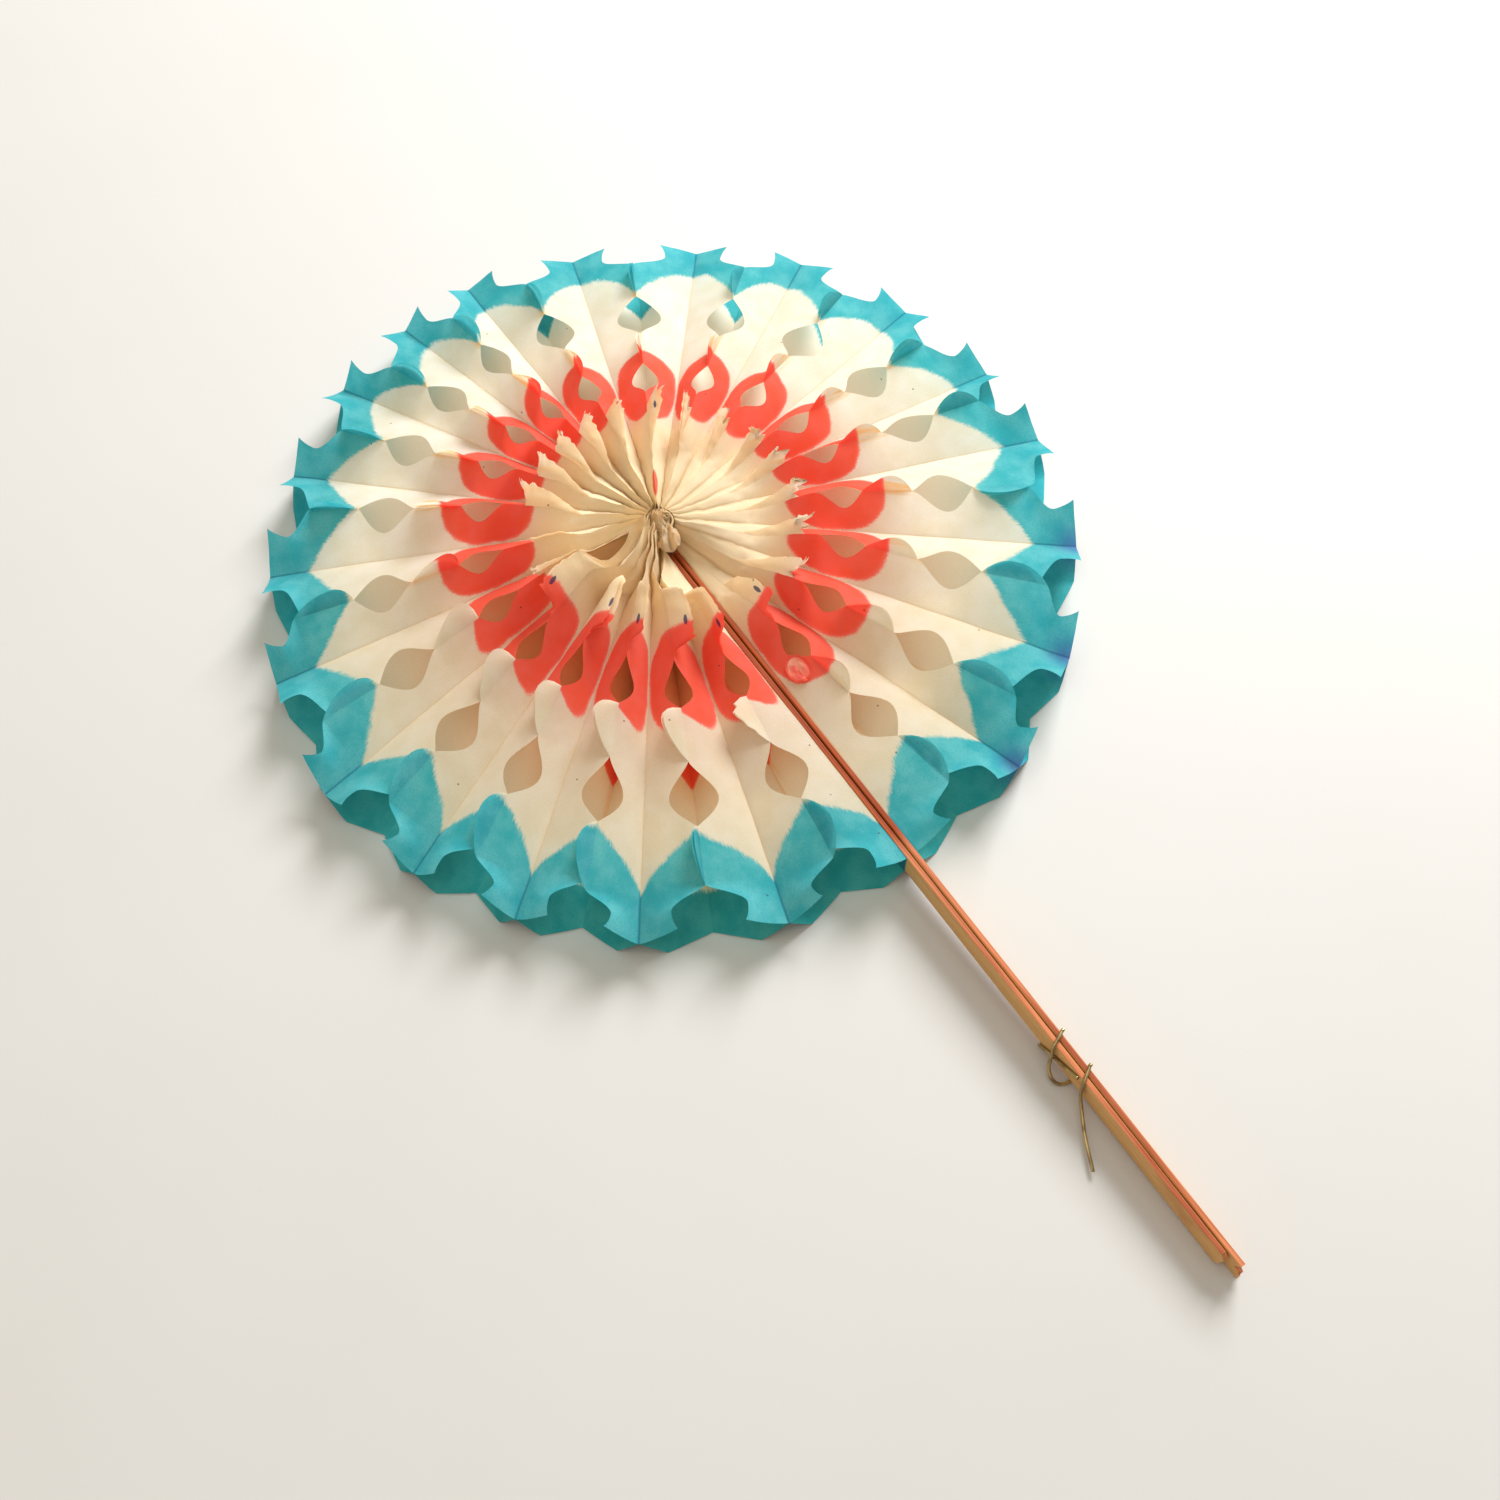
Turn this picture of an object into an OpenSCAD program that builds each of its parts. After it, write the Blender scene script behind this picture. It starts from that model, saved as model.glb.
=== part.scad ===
// Honeycomb paper fan, opened all the way round on two flat wooden sticks.
// The glued paper forms a ring of diamond-shaped cells. Seen from above, each cell has a ridge, where its
// upper panels are cut to holes and scallops, and neighbouring cells are glued together along the valleys
// between the ridges. The lower panels are whole and end in straight folds. The fan rests with these
// folds on a table at z = 0, and its handle lies along +X.

/* [Paper] */
// Number of glued cells round the fan
cell_count = 21; // [17:1:24]
// Thickness of the paper wall
paper_thickness = 0.4; // [0.3:0.05:0.5]
// Height of a ridge over its valleys, at the rim
ridge_height = 5; // [4:0.2:6]
// Extra height of a ridge near the centre
ridge_gain = 5; // [2:0.5:8]
// Height that a scallop stands above the ridge
scallop_height = 3.6; // [2:0.2:5]
// Rise of the valleys from the rim to the centre
cone_rise = 14; // [8:1:20]

/* [Cut edge, from the centre outwards] */
// Radius of the open core
core_radius = 3.5; // [3:0.25:6]
// Length of the narrow neck next to the core
neck_length = 18.5; // [15:0.5:22]
// Length of the inner scallop
inner_scallop_length = 15; // [12:0.5:18]
// Length of the inner hole
inner_hole_length = 11.5; // [8:0.5:14]
// Length of the middle scallop
middle_scallop_length = 12; // [9:0.5:16]
// Length of the outer hole
outer_hole_length = 15; // [10:0.5:18]
// Length of the outer scallop
outer_scallop_length = 13; // [9:0.5:16]
// Length of the notch at the rim
notch_length = 11.5; // [8:0.5:15]
// Share of the panel's width that is left beside the neck
neck_share = 0.38; // [0.3:0.02:0.5]
// Share of the panel's width that is left beside the inner hole
inner_hole_share = 0.56; // [0.45:0.01:0.7]
// Share of the panel's width that is left beside the outer hole
outer_hole_share = 0.54; // [0.45:0.01:0.7]
// Share of the panel's width that is left at the pointed tip of the notch
tip_share = 0.52; // [0.45:0.01:0.7]
// Distance of the pointed tips from the rim
tip_setback = 1; // [0.4:0.2:3]
// Share of the panel's width from the valley to the lower corner at the rim
low_tip_share = 0.36; // [0.25:0.01:0.5]
// Distance of the lower folds' ends from the rim
fold_setback = 5; // [3:0.5:6]
// Height of the lower folds over the table next to the core
fold_rise = 3.5; // [1:0.5:5]

/* [Sticks] */
// Length of the front stick outside the rim
handle_length = 103; // [70:1:140]
// Height of a stick, which stands on its edge
stick_height = 7.5; // [6:0.1:9]
// Thickness of a stick
stick_thickness = 1.2; // [1:0.1:1.6]
// Gap between the two sticks
stick_gap = 0.4; // [0.2:0.1:0.6]
// Rounding of the sticks' long edges
stick_edge = 0.25; // [0.1:0.05:0.4]
// Length by which the broken rear stick is longer
rear_extra = 4.5; // [3:0.5:8]
// Slope of the sticks, down towards the end of the handle, in degrees
stick_slope = 1.35; // [1.2:0.05:2]

/* [Tie wire] */
// Diameter of the wire
wire_diameter = 0.8; // [0.6:0.05:0.9]
// Distance of the tie from the rim
tie_distance = 49; // [30:1:60]
// Distance between the two turns
turn_spacing = 9; // [6:0.5:14]

/* [Binding thread] */
// Diameter of the thread
thread_diameter = 0.8; // [0.5:0.05:1]
// Number of turns in the ring
thread_turns = 2; // [2:1:4]

/* [Hidden] */

// How wide each cell stands open, in degrees, going round from the rear stick
cell_opening = [19, 18, 18, 19, 14, 17, 19, 17, 20, 17, 12, 14, 17, 18, 18, 19, 17, 15, 16, 19, 17];
// Where each ridge stands between its two valleys, in hundredths
ridge_place = [51, 42, 49, 48, 56, 50, 46, 46, 52, 54, 53, 60, 53, 45, 58, 58, 54, 50, 55, 49, 50];

// How far each valley reaches out, in hundredths of the rim's radius
valley_reach = [100, 102, 102, 102, 101, 100, 99, 100, 98, 99, 102, 101, 100, 98, 97, 98, 100, 100, 100,
                101, 101];
// Height of the pointed tips over each valley, where the cut frees the paper to spring up, in hundredths of
// the ridge's height
tip_height = [120, 140, 140, 140, 120, 100, 80, 60, 60, 60, 80, 100, 120, 120, 140, 140, 140, 140, 140,
              140, 140];

// Clearance between pieces that touch
touch = 0.05;

// Radii of the cut edge, each from the length before it
neck_end = core_radius + neck_length;
inner_hole_start = neck_end + inner_scallop_length;
inner_hole_end = inner_hole_start + inner_hole_length;
outer_hole_start = inner_hole_end + middle_scallop_length;
outer_hole_end = outer_hole_start + outer_hole_length;
notch_start = outer_hole_end + outer_scallop_length;
rim_radius = notch_start + notch_length;
notch_depth = notch_length - tip_setback;
fold_end = rim_radius - fold_setback;

// The paper thins towards the core, where the sheets are pressed together
full_thickness_radius = inner_hole_start;

// Outer face of a stick, from the middle plane of the handle
stick_face = stick_gap / 2 + stick_thickness;

// The sticks run from just outside the core to the end of the handle
stick_start = core_radius + 1;
front_end = rim_radius + handle_length;
rear_end = front_end + rear_extra;

// The lower edge of the longer stick's end lies on the table, which sets the height of the sticks'
// middle line at the rim. The valleys have the same height there.
rim_height = stick_height / 2 + (rear_end - rim_radius) * tan(stick_slope);

// Angle from the handle over which the valleys rise from the sticks' slope to the cone's slope
blend_angle = 22;

// One station of the cut edge: [radius in the valley; on the upper half the radius at the edge, share of
// the panel's width, scallop over the ridge, part of the tip's lift, and whether the two panels meet at
// the ridge from here to the next station; on the lower half the radius, share and whether they meet]
function station(r, share, scallop, closed) = [r, r, share, scallop, 0, closed, r, 1, true];

// A hole is widest where its part of the length is swell, and its sides are a full round curve
hole_fullness = 0.8;
function hole_curve(part, swell) = pow(sin(180 * pow(part, ln(0.5) / ln(swell))), hole_fullness);
function hole_stations(start, length, share, swell, parts) = [
    station(start, 1, 0, false),
    for (part = parts)
        station(start + part * length, 1 - (1 - share) * hole_curve(part, swell), 0, false)
];
inner_swell = 0.6;
outer_swell = 0.55;

// The notch narrows the upper panel from the ridge to the tip, from the part of its length in the valley,
// the part of its depth at the edge, the narrowing that is still to come and the part of the tip's lift
function notch_station(length_part, depth_part, still, lifted, low_radius, low_share, low_closed) =
    [notch_start + length_part * notch_length, notch_start + depth_part * notch_depth,
     tip_share + still * (1 - tip_share), 0, lifted, false, low_radius, low_share, low_closed];

stations = concat(
    [
        station(core_radius, neck_share, 0, false),
        station(core_radius + 0.8 * neck_length, neck_share + 0.2, 0, false),
        station(neck_end, 1, scallop_height, true),
        station(neck_end + inner_scallop_length / 2, 1, 0.7 * scallop_height, true)
    ],
    hole_stations(inner_hole_start, inner_hole_length, inner_hole_share, inner_swell, [0.35, 0.78]),
    [
        station(inner_hole_end, 1, 0, true),
        station(inner_hole_end + middle_scallop_length / 2, 1, 0.9 * scallop_height, true)
    ],
    hole_stations(outer_hole_start, outer_hole_length, outer_hole_share, outer_swell, [0.27, 0.55, 0.84]),
    [
        station(outer_hole_end, 1, 0, true),
        station(outer_hole_end + outer_scallop_length / 2, 1, scallop_height, true),
        notch_station(0, 0, 1, 0, notch_start, 1, true),
        notch_station(0.35, 0.15, 0.6, 0.3, (notch_start + fold_end) / 2, 1, true),
        notch_station(0.7, 0.5, 0.2, 0.7, fold_end, 1, false),
        notch_station(1, 1, 0, 1, rim_radius, low_tip_share, false)
    ]
);
last = len(stations) - 1;

// Sum of the openings before a place round the fan, where a whole number is a valley
function opening(cell) = cell_opening[cell % len(cell_opening)];
function opening_sum(cell) = cell <= 0 ? 0 : opening_sum(cell - 1) + opening(cell - 1);
function opened(place) = opening_sum(floor(place)) + (place - floor(place)) * opening(floor(place));
total_opening = opening_sum(cell_count);
function ridge_share(cell) = ridge_place[cell % len(ridge_place)] / 100;

// Angle of a place round the fan at a radius: the first and last valleys lie on the sticks' outer faces
function first_angle(r) = asin(stick_face / r);
function angle_at(place, r) = first_angle(r) + (360 - 2 * first_angle(r)) * opened(place) / total_opening;

// Height of a valley, on a cone that flattens to the slope of the sticks near the handle
function from_handle(valley) = min(opened(valley), total_opening - opened(valley)) * 360 / total_opening;
function cone_share(valley) = 1 - exp(-pow(from_handle(valley) / blend_angle, 2));
function valley_slope(valley) =
    tan(stick_slope) + (cone_rise / rim_radius - tan(stick_slope)) * cone_share(valley);
function valley_height(valley, r) = rim_height + (rim_radius - r) * valley_slope(valley);
function ridge_over(r) = ridge_height + ridge_gain * max(0, 1 - r / outer_hole_start);

// Height of a lower fold: it lies on the table and rises a little towards the core
function fold_height(r) = wall(r) / 2 + fold_rise * max(0, 1 - r / inner_hole_start);

// Reach of a valley, and of an edge at a share of the panel's width from it
function reach(valley) = valley == cell_count ? 1 : valley_reach[valley % len(valley_reach)] / 100;
function edge_reach(cell, valley, share) =
    reach(valley) + ((reach(cell) + reach(cell + 1)) / 2 - reach(valley)) * share;
function tip_lift(valley) = (tip_height[valley % len(tip_height)] / 100 - tip_share) * ridge_height;

// Thickness of the paper at a radius
function wall(r) = paper_thickness * min(1, r / full_thickness_radius);

// A point from its valley, radius, sideways offset, height and reach. The reach takes effect gradually,
// from the core to the rim.
function fan_point(valley, r, side, z, far) =
    let (
        a = angle_at(valley, r),
        stretch = 1 + (far - 1) * (r - core_radius) / (rim_radius - core_radius)
    )
    [stretch * (r * cos(a) - side * sin(a)), stretch * (r * sin(a) + side * cos(a)), z];

// Half of a cell in section: width and height from a valley to the ridge or to the lower fold, at a
// radius. The ridge stands over the mean height of its two valleys, and the fold is halfway between them.
function half_width(cell, side, r, up) =
    let (share = up < 0 ? 0.5 : side < 0 ? ridge_share(cell) : 1 - ridge_share(cell))
    r * (angle_at(cell + 1, r) - angle_at(cell, r)) * share * PI / 180;
function half_height(cell, side, r, up) =
    let (
        valley = side < 0 ? cell : cell + 1,
        mean_height = (valley_height(cell, r) + valley_height(cell + 1, r)) / 2
    )
    up < 0
        ? valley_height(valley, r) - fold_height(r)
        : mean_height + ridge_over(r) - valley_height(valley, r);

// Outer and inner corner of a panel's edge: side -1 is the panel after the first valley of the cell,
// +1 the panel before the second one, and up is +1 on the upper half and -1 on the lower half.
// Every edge of the lower half is at the height of the fold.
function edge_corner(cell, side, up, station, outer) =
    let (
        r = up > 0 ? station[1] : station[6],
        share = up > 0 ? station[2] : station[7],
        valley = side < 0 ? cell : cell + 1,
        w = half_width(cell, side, r, up),
        h = half_height(cell, side, r, up),
        span = norm([w, h]),
        half_wall = wall(r) / 2,
        closed = share == 1,
        added = up < 0 ? (1 - share) * h : (outer ? station[3] : 0) + station[4] * tip_lift(valley),
        free_side = share * w + (outer ? -1 : 1) * half_wall * h / span,
        free_up = share * h + added + (outer ? 1 : -1) * half_wall * w / span,
        side_from_valley = min(free_side, w - half_wall / 4),
        up_from_valley = closed && !outer ? h - half_wall * span / w : free_up
    )
    fan_point(valley, r, -side * side_from_valley, valley_height(valley, r) + up * up_from_valley,
              edge_reach(cell, valley, share));

// Corner in the valley, above or below the glued line. The first and last sheets are glued over the
// whole outer face of a stick.
glued_half = stick_height / 2 - stick_edge;
function valley_corner(valley, up, station) =
    let (
        r = station[0],
        on_stick = valley == 0 || valley == cell_count,
        w = on_stick ? 1 : half_width(valley, -1, r, up),
        h = on_stick ? 1 : half_height(valley, -1, r, up),
        half = on_stick ? glued_half : wall(r) / 2 * norm([w, h]) / w
    )
    fan_point(valley, r, 0, valley_height(valley, r) + up * half, reach(valley));
// Corner inside the cell, beside the glued line
function cell_corner(cell, side, station) =
    let (
        r = station[0],
        valley = side < 0 ? cell : cell + 1,
        w = half_width(cell, side, r, 1),
        h = ridge_over(r)
    )
    fan_point(valley, r, -side * wall(r) / 2 * norm([w, h]) / h, valley_height(valley, r), reach(valley));

// All corners, station by station: upper valleys, lower valleys, then ten corners for each cell
valley_total = cell_count + 1;
cell_start = 2 * valley_total;
station_size = cell_start + 10 * cell_count;
paper_points = [
    for (station = stations) each concat(
        [for (valley = [0 : cell_count]) valley_corner(valley, 1, station)],
        [for (valley = [0 : cell_count]) valley_corner(valley, -1, station)],
        [for (cell = [0 : cell_count - 1]) each [
            cell_corner(cell, -1, station),
            cell_corner(cell, 1, station),
            for (up = [1, -1]) for (side = [-1, 1]) for (outer = [true, false])
                edge_corner(cell, side, up, station, outer)
        ]]
    )
];

// Numbers of the corners in paper_points
function top_valley(k, valley) = k * station_size + valley;
function low_valley(k, valley) = k * station_size + valley_total + valley;
function corner(k, cell, which) = k * station_size + cell_start + 10 * cell + which;
// which: 0 and 1 are the cell's own corners at its two valleys, then outer and inner corners of the
// upper left, upper right, lower left and lower right panels
upper_left = 2;
upper_right = 4;
lower_left = 6;
lower_right = 8;

// A four-sided face as two triangles
function quad(a, b, c, d) = [[a, b, c], [a, c, d]];
// The strip between two corner lines, from one station to the next. The two faces of a wall are split along
// the same diagonal, so that they stay apart where the wall is twisted.
function strip(a0, b0, a1, b1) = quad(a0, b0, b1, a1);
function inner_strip(a0, b0, a1, b1) = quad(b0, b1, a1, a0);

// Faces of one half of a cell between two stations: top is true on the upper half
function half_faces(k, cell, top) =
    let (
        n = k + 1,
        left = top ? upper_left : lower_left,
        right = top ? upper_right : lower_right,
        v0 = top ? top_valley(k, cell) : low_valley(k, cell),
        v1 = top ? top_valley(n, cell) : low_valley(n, cell),
        w0 = top ? top_valley(k, cell + 1) : low_valley(k, cell + 1),
        w1 = top ? top_valley(n, cell + 1) : low_valley(n, cell + 1),
        closed = stations[k][top ? 5 : 8],
        faces = concat(
            strip(v0, corner(k, cell, left), v1, corner(n, cell, left)),
            strip(corner(k, cell, right), w0, corner(n, cell, right), w1),
            inner_strip(corner(k, cell, left + 1), corner(k, cell, 0),
                        corner(n, cell, left + 1), corner(n, cell, 0)),
            inner_strip(corner(k, cell, 1), corner(k, cell, right + 1),
                        corner(n, cell, 1), corner(n, cell, right + 1)),
            closed
                ? concat(
                    strip(corner(k, cell, left), corner(k, cell, right),
                          corner(n, cell, left), corner(n, cell, right)),
                    strip(corner(k, cell, right + 1), corner(k, cell, left + 1),
                          corner(n, cell, right + 1), corner(n, cell, left + 1)))
                : concat(
                    strip(corner(k, cell, left), corner(k, cell, left + 1),
                          corner(n, cell, left), corner(n, cell, left + 1)),
                    strip(corner(k, cell, right + 1), corner(k, cell, right),
                          corner(n, cell, right + 1), corner(n, cell, right)))
        )
    )
    top ? faces : turned(faces);
function turned(faces) = [for (face = faces) [face[2], face[1], face[0]]];

// Small wall where a ridge or fold opens into a hole, or closes after one
function ridge_wall(k, cell, top) =
    let (
        which = top ? 5 : 8,
        left = top ? upper_left : lower_left,
        right = top ? upper_right : lower_right,
        before = k > 0 && stations[k - 1][which],
        after = stations[k][which],
        faces = quad(corner(k, cell, left), corner(k, cell, right),
                     corner(k, cell, right + 1), corner(k, cell, left + 1))
    )
    before == after ? [] : after == top ? turned(faces) : faces;

// Cut ends of the four panels of a cell, at the core and at the rim
function cell_ends(k, cell) = concat(
    quad(top_valley(k, cell), corner(k, cell, upper_left),
         corner(k, cell, upper_left + 1), corner(k, cell, 0)),
    quad(corner(k, cell, 1), corner(k, cell, upper_right + 1),
         corner(k, cell, upper_right), top_valley(k, cell + 1)),
    quad(corner(k, cell, 0), corner(k, cell, lower_left + 1),
         corner(k, cell, lower_left), low_valley(k, cell)),
    quad(low_valley(k, cell + 1), corner(k, cell, lower_right),
         corner(k, cell, lower_right + 1), corner(k, cell, 1))
);
// Cut ends of the glued lines between the cells, and of the first and last line on the sticks
function valley_ends(k) = concat(
    [for (valley = [1 : cell_count - 1]) each quad(top_valley(k, valley), corner(k, valley, 0),
        low_valley(k, valley), corner(k, valley - 1, 1))],
    [[top_valley(k, 0), corner(k, 0, 0), low_valley(k, 0)],
     [top_valley(k, cell_count), low_valley(k, cell_count), corner(k, cell_count - 1, 1)]]
);
function ends(k) = concat([for (cell = [0 : cell_count - 1]) each cell_ends(k, cell)], valley_ends(k));

// Glued faces against the sticks
function glued_faces(k) = concat(
    strip(low_valley(k, 0), top_valley(k, 0), low_valley(k + 1, 0), top_valley(k + 1, 0)),
    strip(top_valley(k, cell_count), low_valley(k, cell_count),
          top_valley(k + 1, cell_count), low_valley(k + 1, cell_count))
);

paper_faces = concat(
    [for (k = [0 : last - 1]) for (cell = [0 : cell_count - 1]) for (top = [true, false])
        each half_faces(k, cell, top)],
    [for (k = [0 : last - 1]) for (cell = [0 : cell_count - 1]) for (top = [true, false])
        each ridge_wall(k, cell, top)],
    [for (k = [0 : last - 1]) each glued_faces(k)],
    turned(ends(0)),
    ends(last)
);

// The origin is under the middle of the whole fan, on the table
paper_x = [for (point = paper_points) point.x];
paper_y = [for (point = paper_points) point.y];
origin_x = (min(paper_x) + rear_end) / 2;
origin_y = (min(paper_y) + max(paper_y)) / 2;
module placed() translate([-origin_x, -origin_y, 0]) children();

// The sticks' own frame: x along the handle, z up from their middle line
module on_handle() placed()
    translate([rim_radius, 0, rim_height])
        rotate([0, stick_slope, 0])
            translate([-rim_radius, 0, 0])
                children();

module honeycomb_paper() {
    color("ivory")
        placed()
            polyhedron(points = paper_points, faces = paper_faces, convexity = 20);
}

// Section of a stick: a rectangle with rounded edges
module stick_section() {
    square([stick_thickness, stick_height - 2 * stick_edge], center = true);
    square([stick_thickness - 2 * stick_edge, stick_height], center = true);
    for (side = [-1, 1])
        for (up = [-1, 1])
            translate([side * (stick_thickness / 2 - stick_edge), up * (stick_height / 2 - stick_edge)])
                circle(r = stick_edge, $fn = 16);
}

// A stick from its section and the outline of its broad face
module stick(outline) {
    intersection() {
        translate([stick_start, 0, 0])
            rotate([90, 0, 90])
                linear_extrude(rear_end - stick_start)
                    stick_section();
        rotate([90, 0, 0])
            linear_extrude(2 * stick_thickness, center = true)
                polygon(outline);
    }
}

// Bevel at the end of the front stick
end_bevel = 1.2;
// Depth of the break at the end of the rear stick
break_depth = 2.5;

half_stick = stick_height / 2;
front_outline = [
    [stick_start, -half_stick],
    [front_end - end_bevel, -half_stick],
    [front_end, -half_stick + end_bevel],
    [front_end, half_stick - end_bevel],
    [front_end - end_bevel, half_stick],
    [stick_start, half_stick]
];
rear_outline = [
    [stick_start, -half_stick],
    [rear_end, -half_stick],
    [rear_end - 0.5 * break_depth, -0.55 * half_stick],
    [rear_end - 0.2 * break_depth, -0.2 * half_stick],
    [rear_end - break_depth, 0.25 * half_stick],
    [rear_end - 0.7 * break_depth, half_stick],
    [stick_start, half_stick]
];

module front_stick() {
    color("peru")
        on_handle()
            translate([0, -(stick_gap + stick_thickness) / 2, 0])
                stick(front_outline);
}

module rear_stick() {
    color("chocolate")
        on_handle()
            translate([0, (stick_gap + stick_thickness) / 2, 0])
                stick(rear_outline);
}

// Route of the wire, in the sticks' own frame: it starts at the top of the front face, slants across
// it, goes round the sticks, hangs in a loose loop, goes round again and ends in a long tail
tie = rim_radius + tie_distance;
wire_gap = wire_diameter / 2 + touch;
front = -stick_face - wire_gap;
back = stick_face + wire_gap;
over = half_stick + wire_gap;
under = -over;
bend = 0.6 * wire_diameter;
step = turn_spacing / 10;
slack = wire_diameter;
wire_route = [
    [tie + 10.8 * step, front, 0.85 * half_stick],
    [tie + 8.9 * step, front, 0.55 * half_stick],
    [tie + 4.4 * step, front, -0.1 * half_stick],
    [tie + 0.6 * step, front, -0.7 * half_stick],
    [tie - 0.8 * step, front, under + bend],
    [tie - 0.9 * step, front + bend, under],
    [tie - 0.6 * step, back - bend, under],
    [tie - 0.3 * step, back, under + bend],
    [tie + 0.2 * step, back, over - bend],
    [tie + 0.4 * step, back - bend, over],
    [tie + 1.7 * step, front + bend, over],
    [tie + 2 * step, front - 0.25 * slack, over - bend],
    [tie + 2.8 * step, front - 0.5 * slack, 0.3 * half_stick],
    [tie + 3.6 * step, front - 1.25 * slack, -0.4 * half_stick],
    [tie + 4.9 * step, front - 2.5 * slack, -0.75 * half_stick],
    [tie + 6.9 * step, front - 3.25 * slack, -0.9 * half_stick],
    [tie + 8.7 * step, front - 2.5 * slack, under + 0.25 * slack],
    [tie + 9.6 * step, front - 0.75 * slack, under],
    [tie + 9.8 * step, front + bend, under],
    [tie + 10 * step, back - bend, under],
    [tie + 10 * step, back, under + bend],
    [tie + 10.2 * step, back, over - bend],
    [tie + 10.4 * step, back - bend, over],
    [tie + 12.2 * step, front + bend, over],
    [tie + 12.7 * step, front - 0.12 * slack, over - bend],
    [tie + 13.3 * step, front - 0.25 * slack, 0.2 * half_stick],
    [tie + 14.4 * step, front - 1 * slack, -0.4 * half_stick],
    [tie + 17.8 * step, front - 3.25 * slack, -0.7 * half_stick],
    [tie + 22.2 * step, front - 6.25 * slack, -0.8 * half_stick],
    [tie + 28.9 * step, front - 10 * slack, -0.85 * half_stick]
];

// A tube along a route: a ring of corners at each point, turned with the route
function unit(v) = v / norm(v);
function heading(route, i) =
    unit(route[min(i + 1, len(route) - 1)] - route[max(i - 1, 0)]);
function across(route, i) =
    let (
        before = i == 0 ? [0, 0, 1] : across(route, i - 1),
        along = heading(route, i)
    )
    unit(before - (before * along) * along);
function ring(route, i, radius, sides) =
    let (a = across(route, i), b = cross(heading(route, i), a))
    [for (s = [0 : sides - 1]) let (turn = 360 * s / sides)
        route[i] + radius * (cos(turn) * a + sin(turn) * b)];
module tube(route, radius, sides) {
    rings = len(route);
    polyhedron(
        points = [for (i = [0 : rings - 1]) each ring(route, i, radius, sides)],
        faces = concat(
            [[for (s = [0 : sides - 1]) s]],
            [for (i = [0 : rings - 2]) for (s = [0 : sides - 1]) let (t = (s + 1) % sides)
                each quad(i * sides + s, (i + 1) * sides + s, (i + 1) * sides + t, i * sides + t)],
            [[for (s = [sides - 1 : -1 : 0]) (rings - 1) * sides + s]]
        ),
        convexity = 10
    );
}

module tie_wire() {
    color("darkgoldenrod")
        on_handle()
            tube(wire_route, wire_diameter / 2, 8);
}

// Ring of thread inside the core, at the height of the valleys there, with its knot on top
thread_pitch = 0.85 * thread_diameter;
ring_radius = core_radius - thread_diameter / 2 - touch;
ring_height = rim_height + cone_rise * (1 - core_radius / rim_radius);
knot_radius = 1.5 * thread_diameter;
knot_place = core_radius - knot_radius - touch;
module binding_thread() {
    color("tan")
        placed()
            translate([0, 0, ring_height]) {
                rotate_extrude($fn = 16)
                    for (turn = [0 : thread_turns - 1])
                        translate([ring_radius, turn * thread_pitch])
                            circle(d = thread_diameter, $fn = 13);
                translate([0, knot_place, thread_turns * thread_pitch])
                    sphere(r = knot_radius, $fn = 14);
            }
}

honeycomb_paper();
front_stick();
rear_stick();
tie_wire();
binding_thread();
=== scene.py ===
# Looks of the honeycomb paper fan: thin dyed paper with cut edges, wooden sticks, tie wire and thread.
import math
import random

import bpy
from mathutils import Matrix, Vector, noise


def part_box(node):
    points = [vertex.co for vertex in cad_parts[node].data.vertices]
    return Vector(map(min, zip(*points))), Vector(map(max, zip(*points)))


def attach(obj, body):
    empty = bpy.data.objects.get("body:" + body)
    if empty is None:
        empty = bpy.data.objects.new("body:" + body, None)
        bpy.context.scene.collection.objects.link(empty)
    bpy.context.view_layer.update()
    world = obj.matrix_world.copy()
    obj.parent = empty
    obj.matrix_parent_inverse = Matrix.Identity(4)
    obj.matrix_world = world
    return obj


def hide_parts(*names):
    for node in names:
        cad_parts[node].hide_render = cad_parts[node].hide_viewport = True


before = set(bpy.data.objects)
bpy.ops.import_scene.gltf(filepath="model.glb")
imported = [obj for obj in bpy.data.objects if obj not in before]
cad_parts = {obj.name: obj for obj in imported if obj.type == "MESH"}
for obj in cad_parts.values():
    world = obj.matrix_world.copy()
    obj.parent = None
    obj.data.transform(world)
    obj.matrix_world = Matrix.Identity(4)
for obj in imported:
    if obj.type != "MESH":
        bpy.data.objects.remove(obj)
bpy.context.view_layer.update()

MM = 0.001

# Sizes of the paper, in millimetres, as in the solid apart from the shares of the outer hole, the tip and
# the notch, which are a little smaller here
CELLS = 21
RIDGE_HEIGHT = 5.0
RIDGE_GAIN = 5.0
CONE_RISE = 14.0
CORE = 3.5
NECK_END = 22.0
INNER_HOLE = (37.0, 48.5)
OUTER_HOLE = (60.5, 75.5)
NOTCH_START = 88.5
RIM = 100.0
TIP_SETBACK = 1.0
NECK_SHARE = 0.38
INNER_SHARE = 0.56
OUTER_SHARE = 0.51
TIP_SHARE = 0.5
NOTCH_SHARE = 0.46
TIP_HOOK = 0.09
LOW_TIP_SHARE = 0.36
FOLD_END = 95.0
FOLD_RISE = 3.5
FOLD_LOW = 0.2
STICK_HEIGHT = 7.5
STICK_FACE = 1.4
STICK_SLOPE = math.radians(1.35)
REAR_END = 207.5
GLUED_HALF = 3.5
# Degrees from the handle over which the valleys flatten to the sticks
BLEND_ANGLE = 22.0
# Direction of the handle in the picture, in degrees
HANDLE_DIRECTION = 303.35
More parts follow.
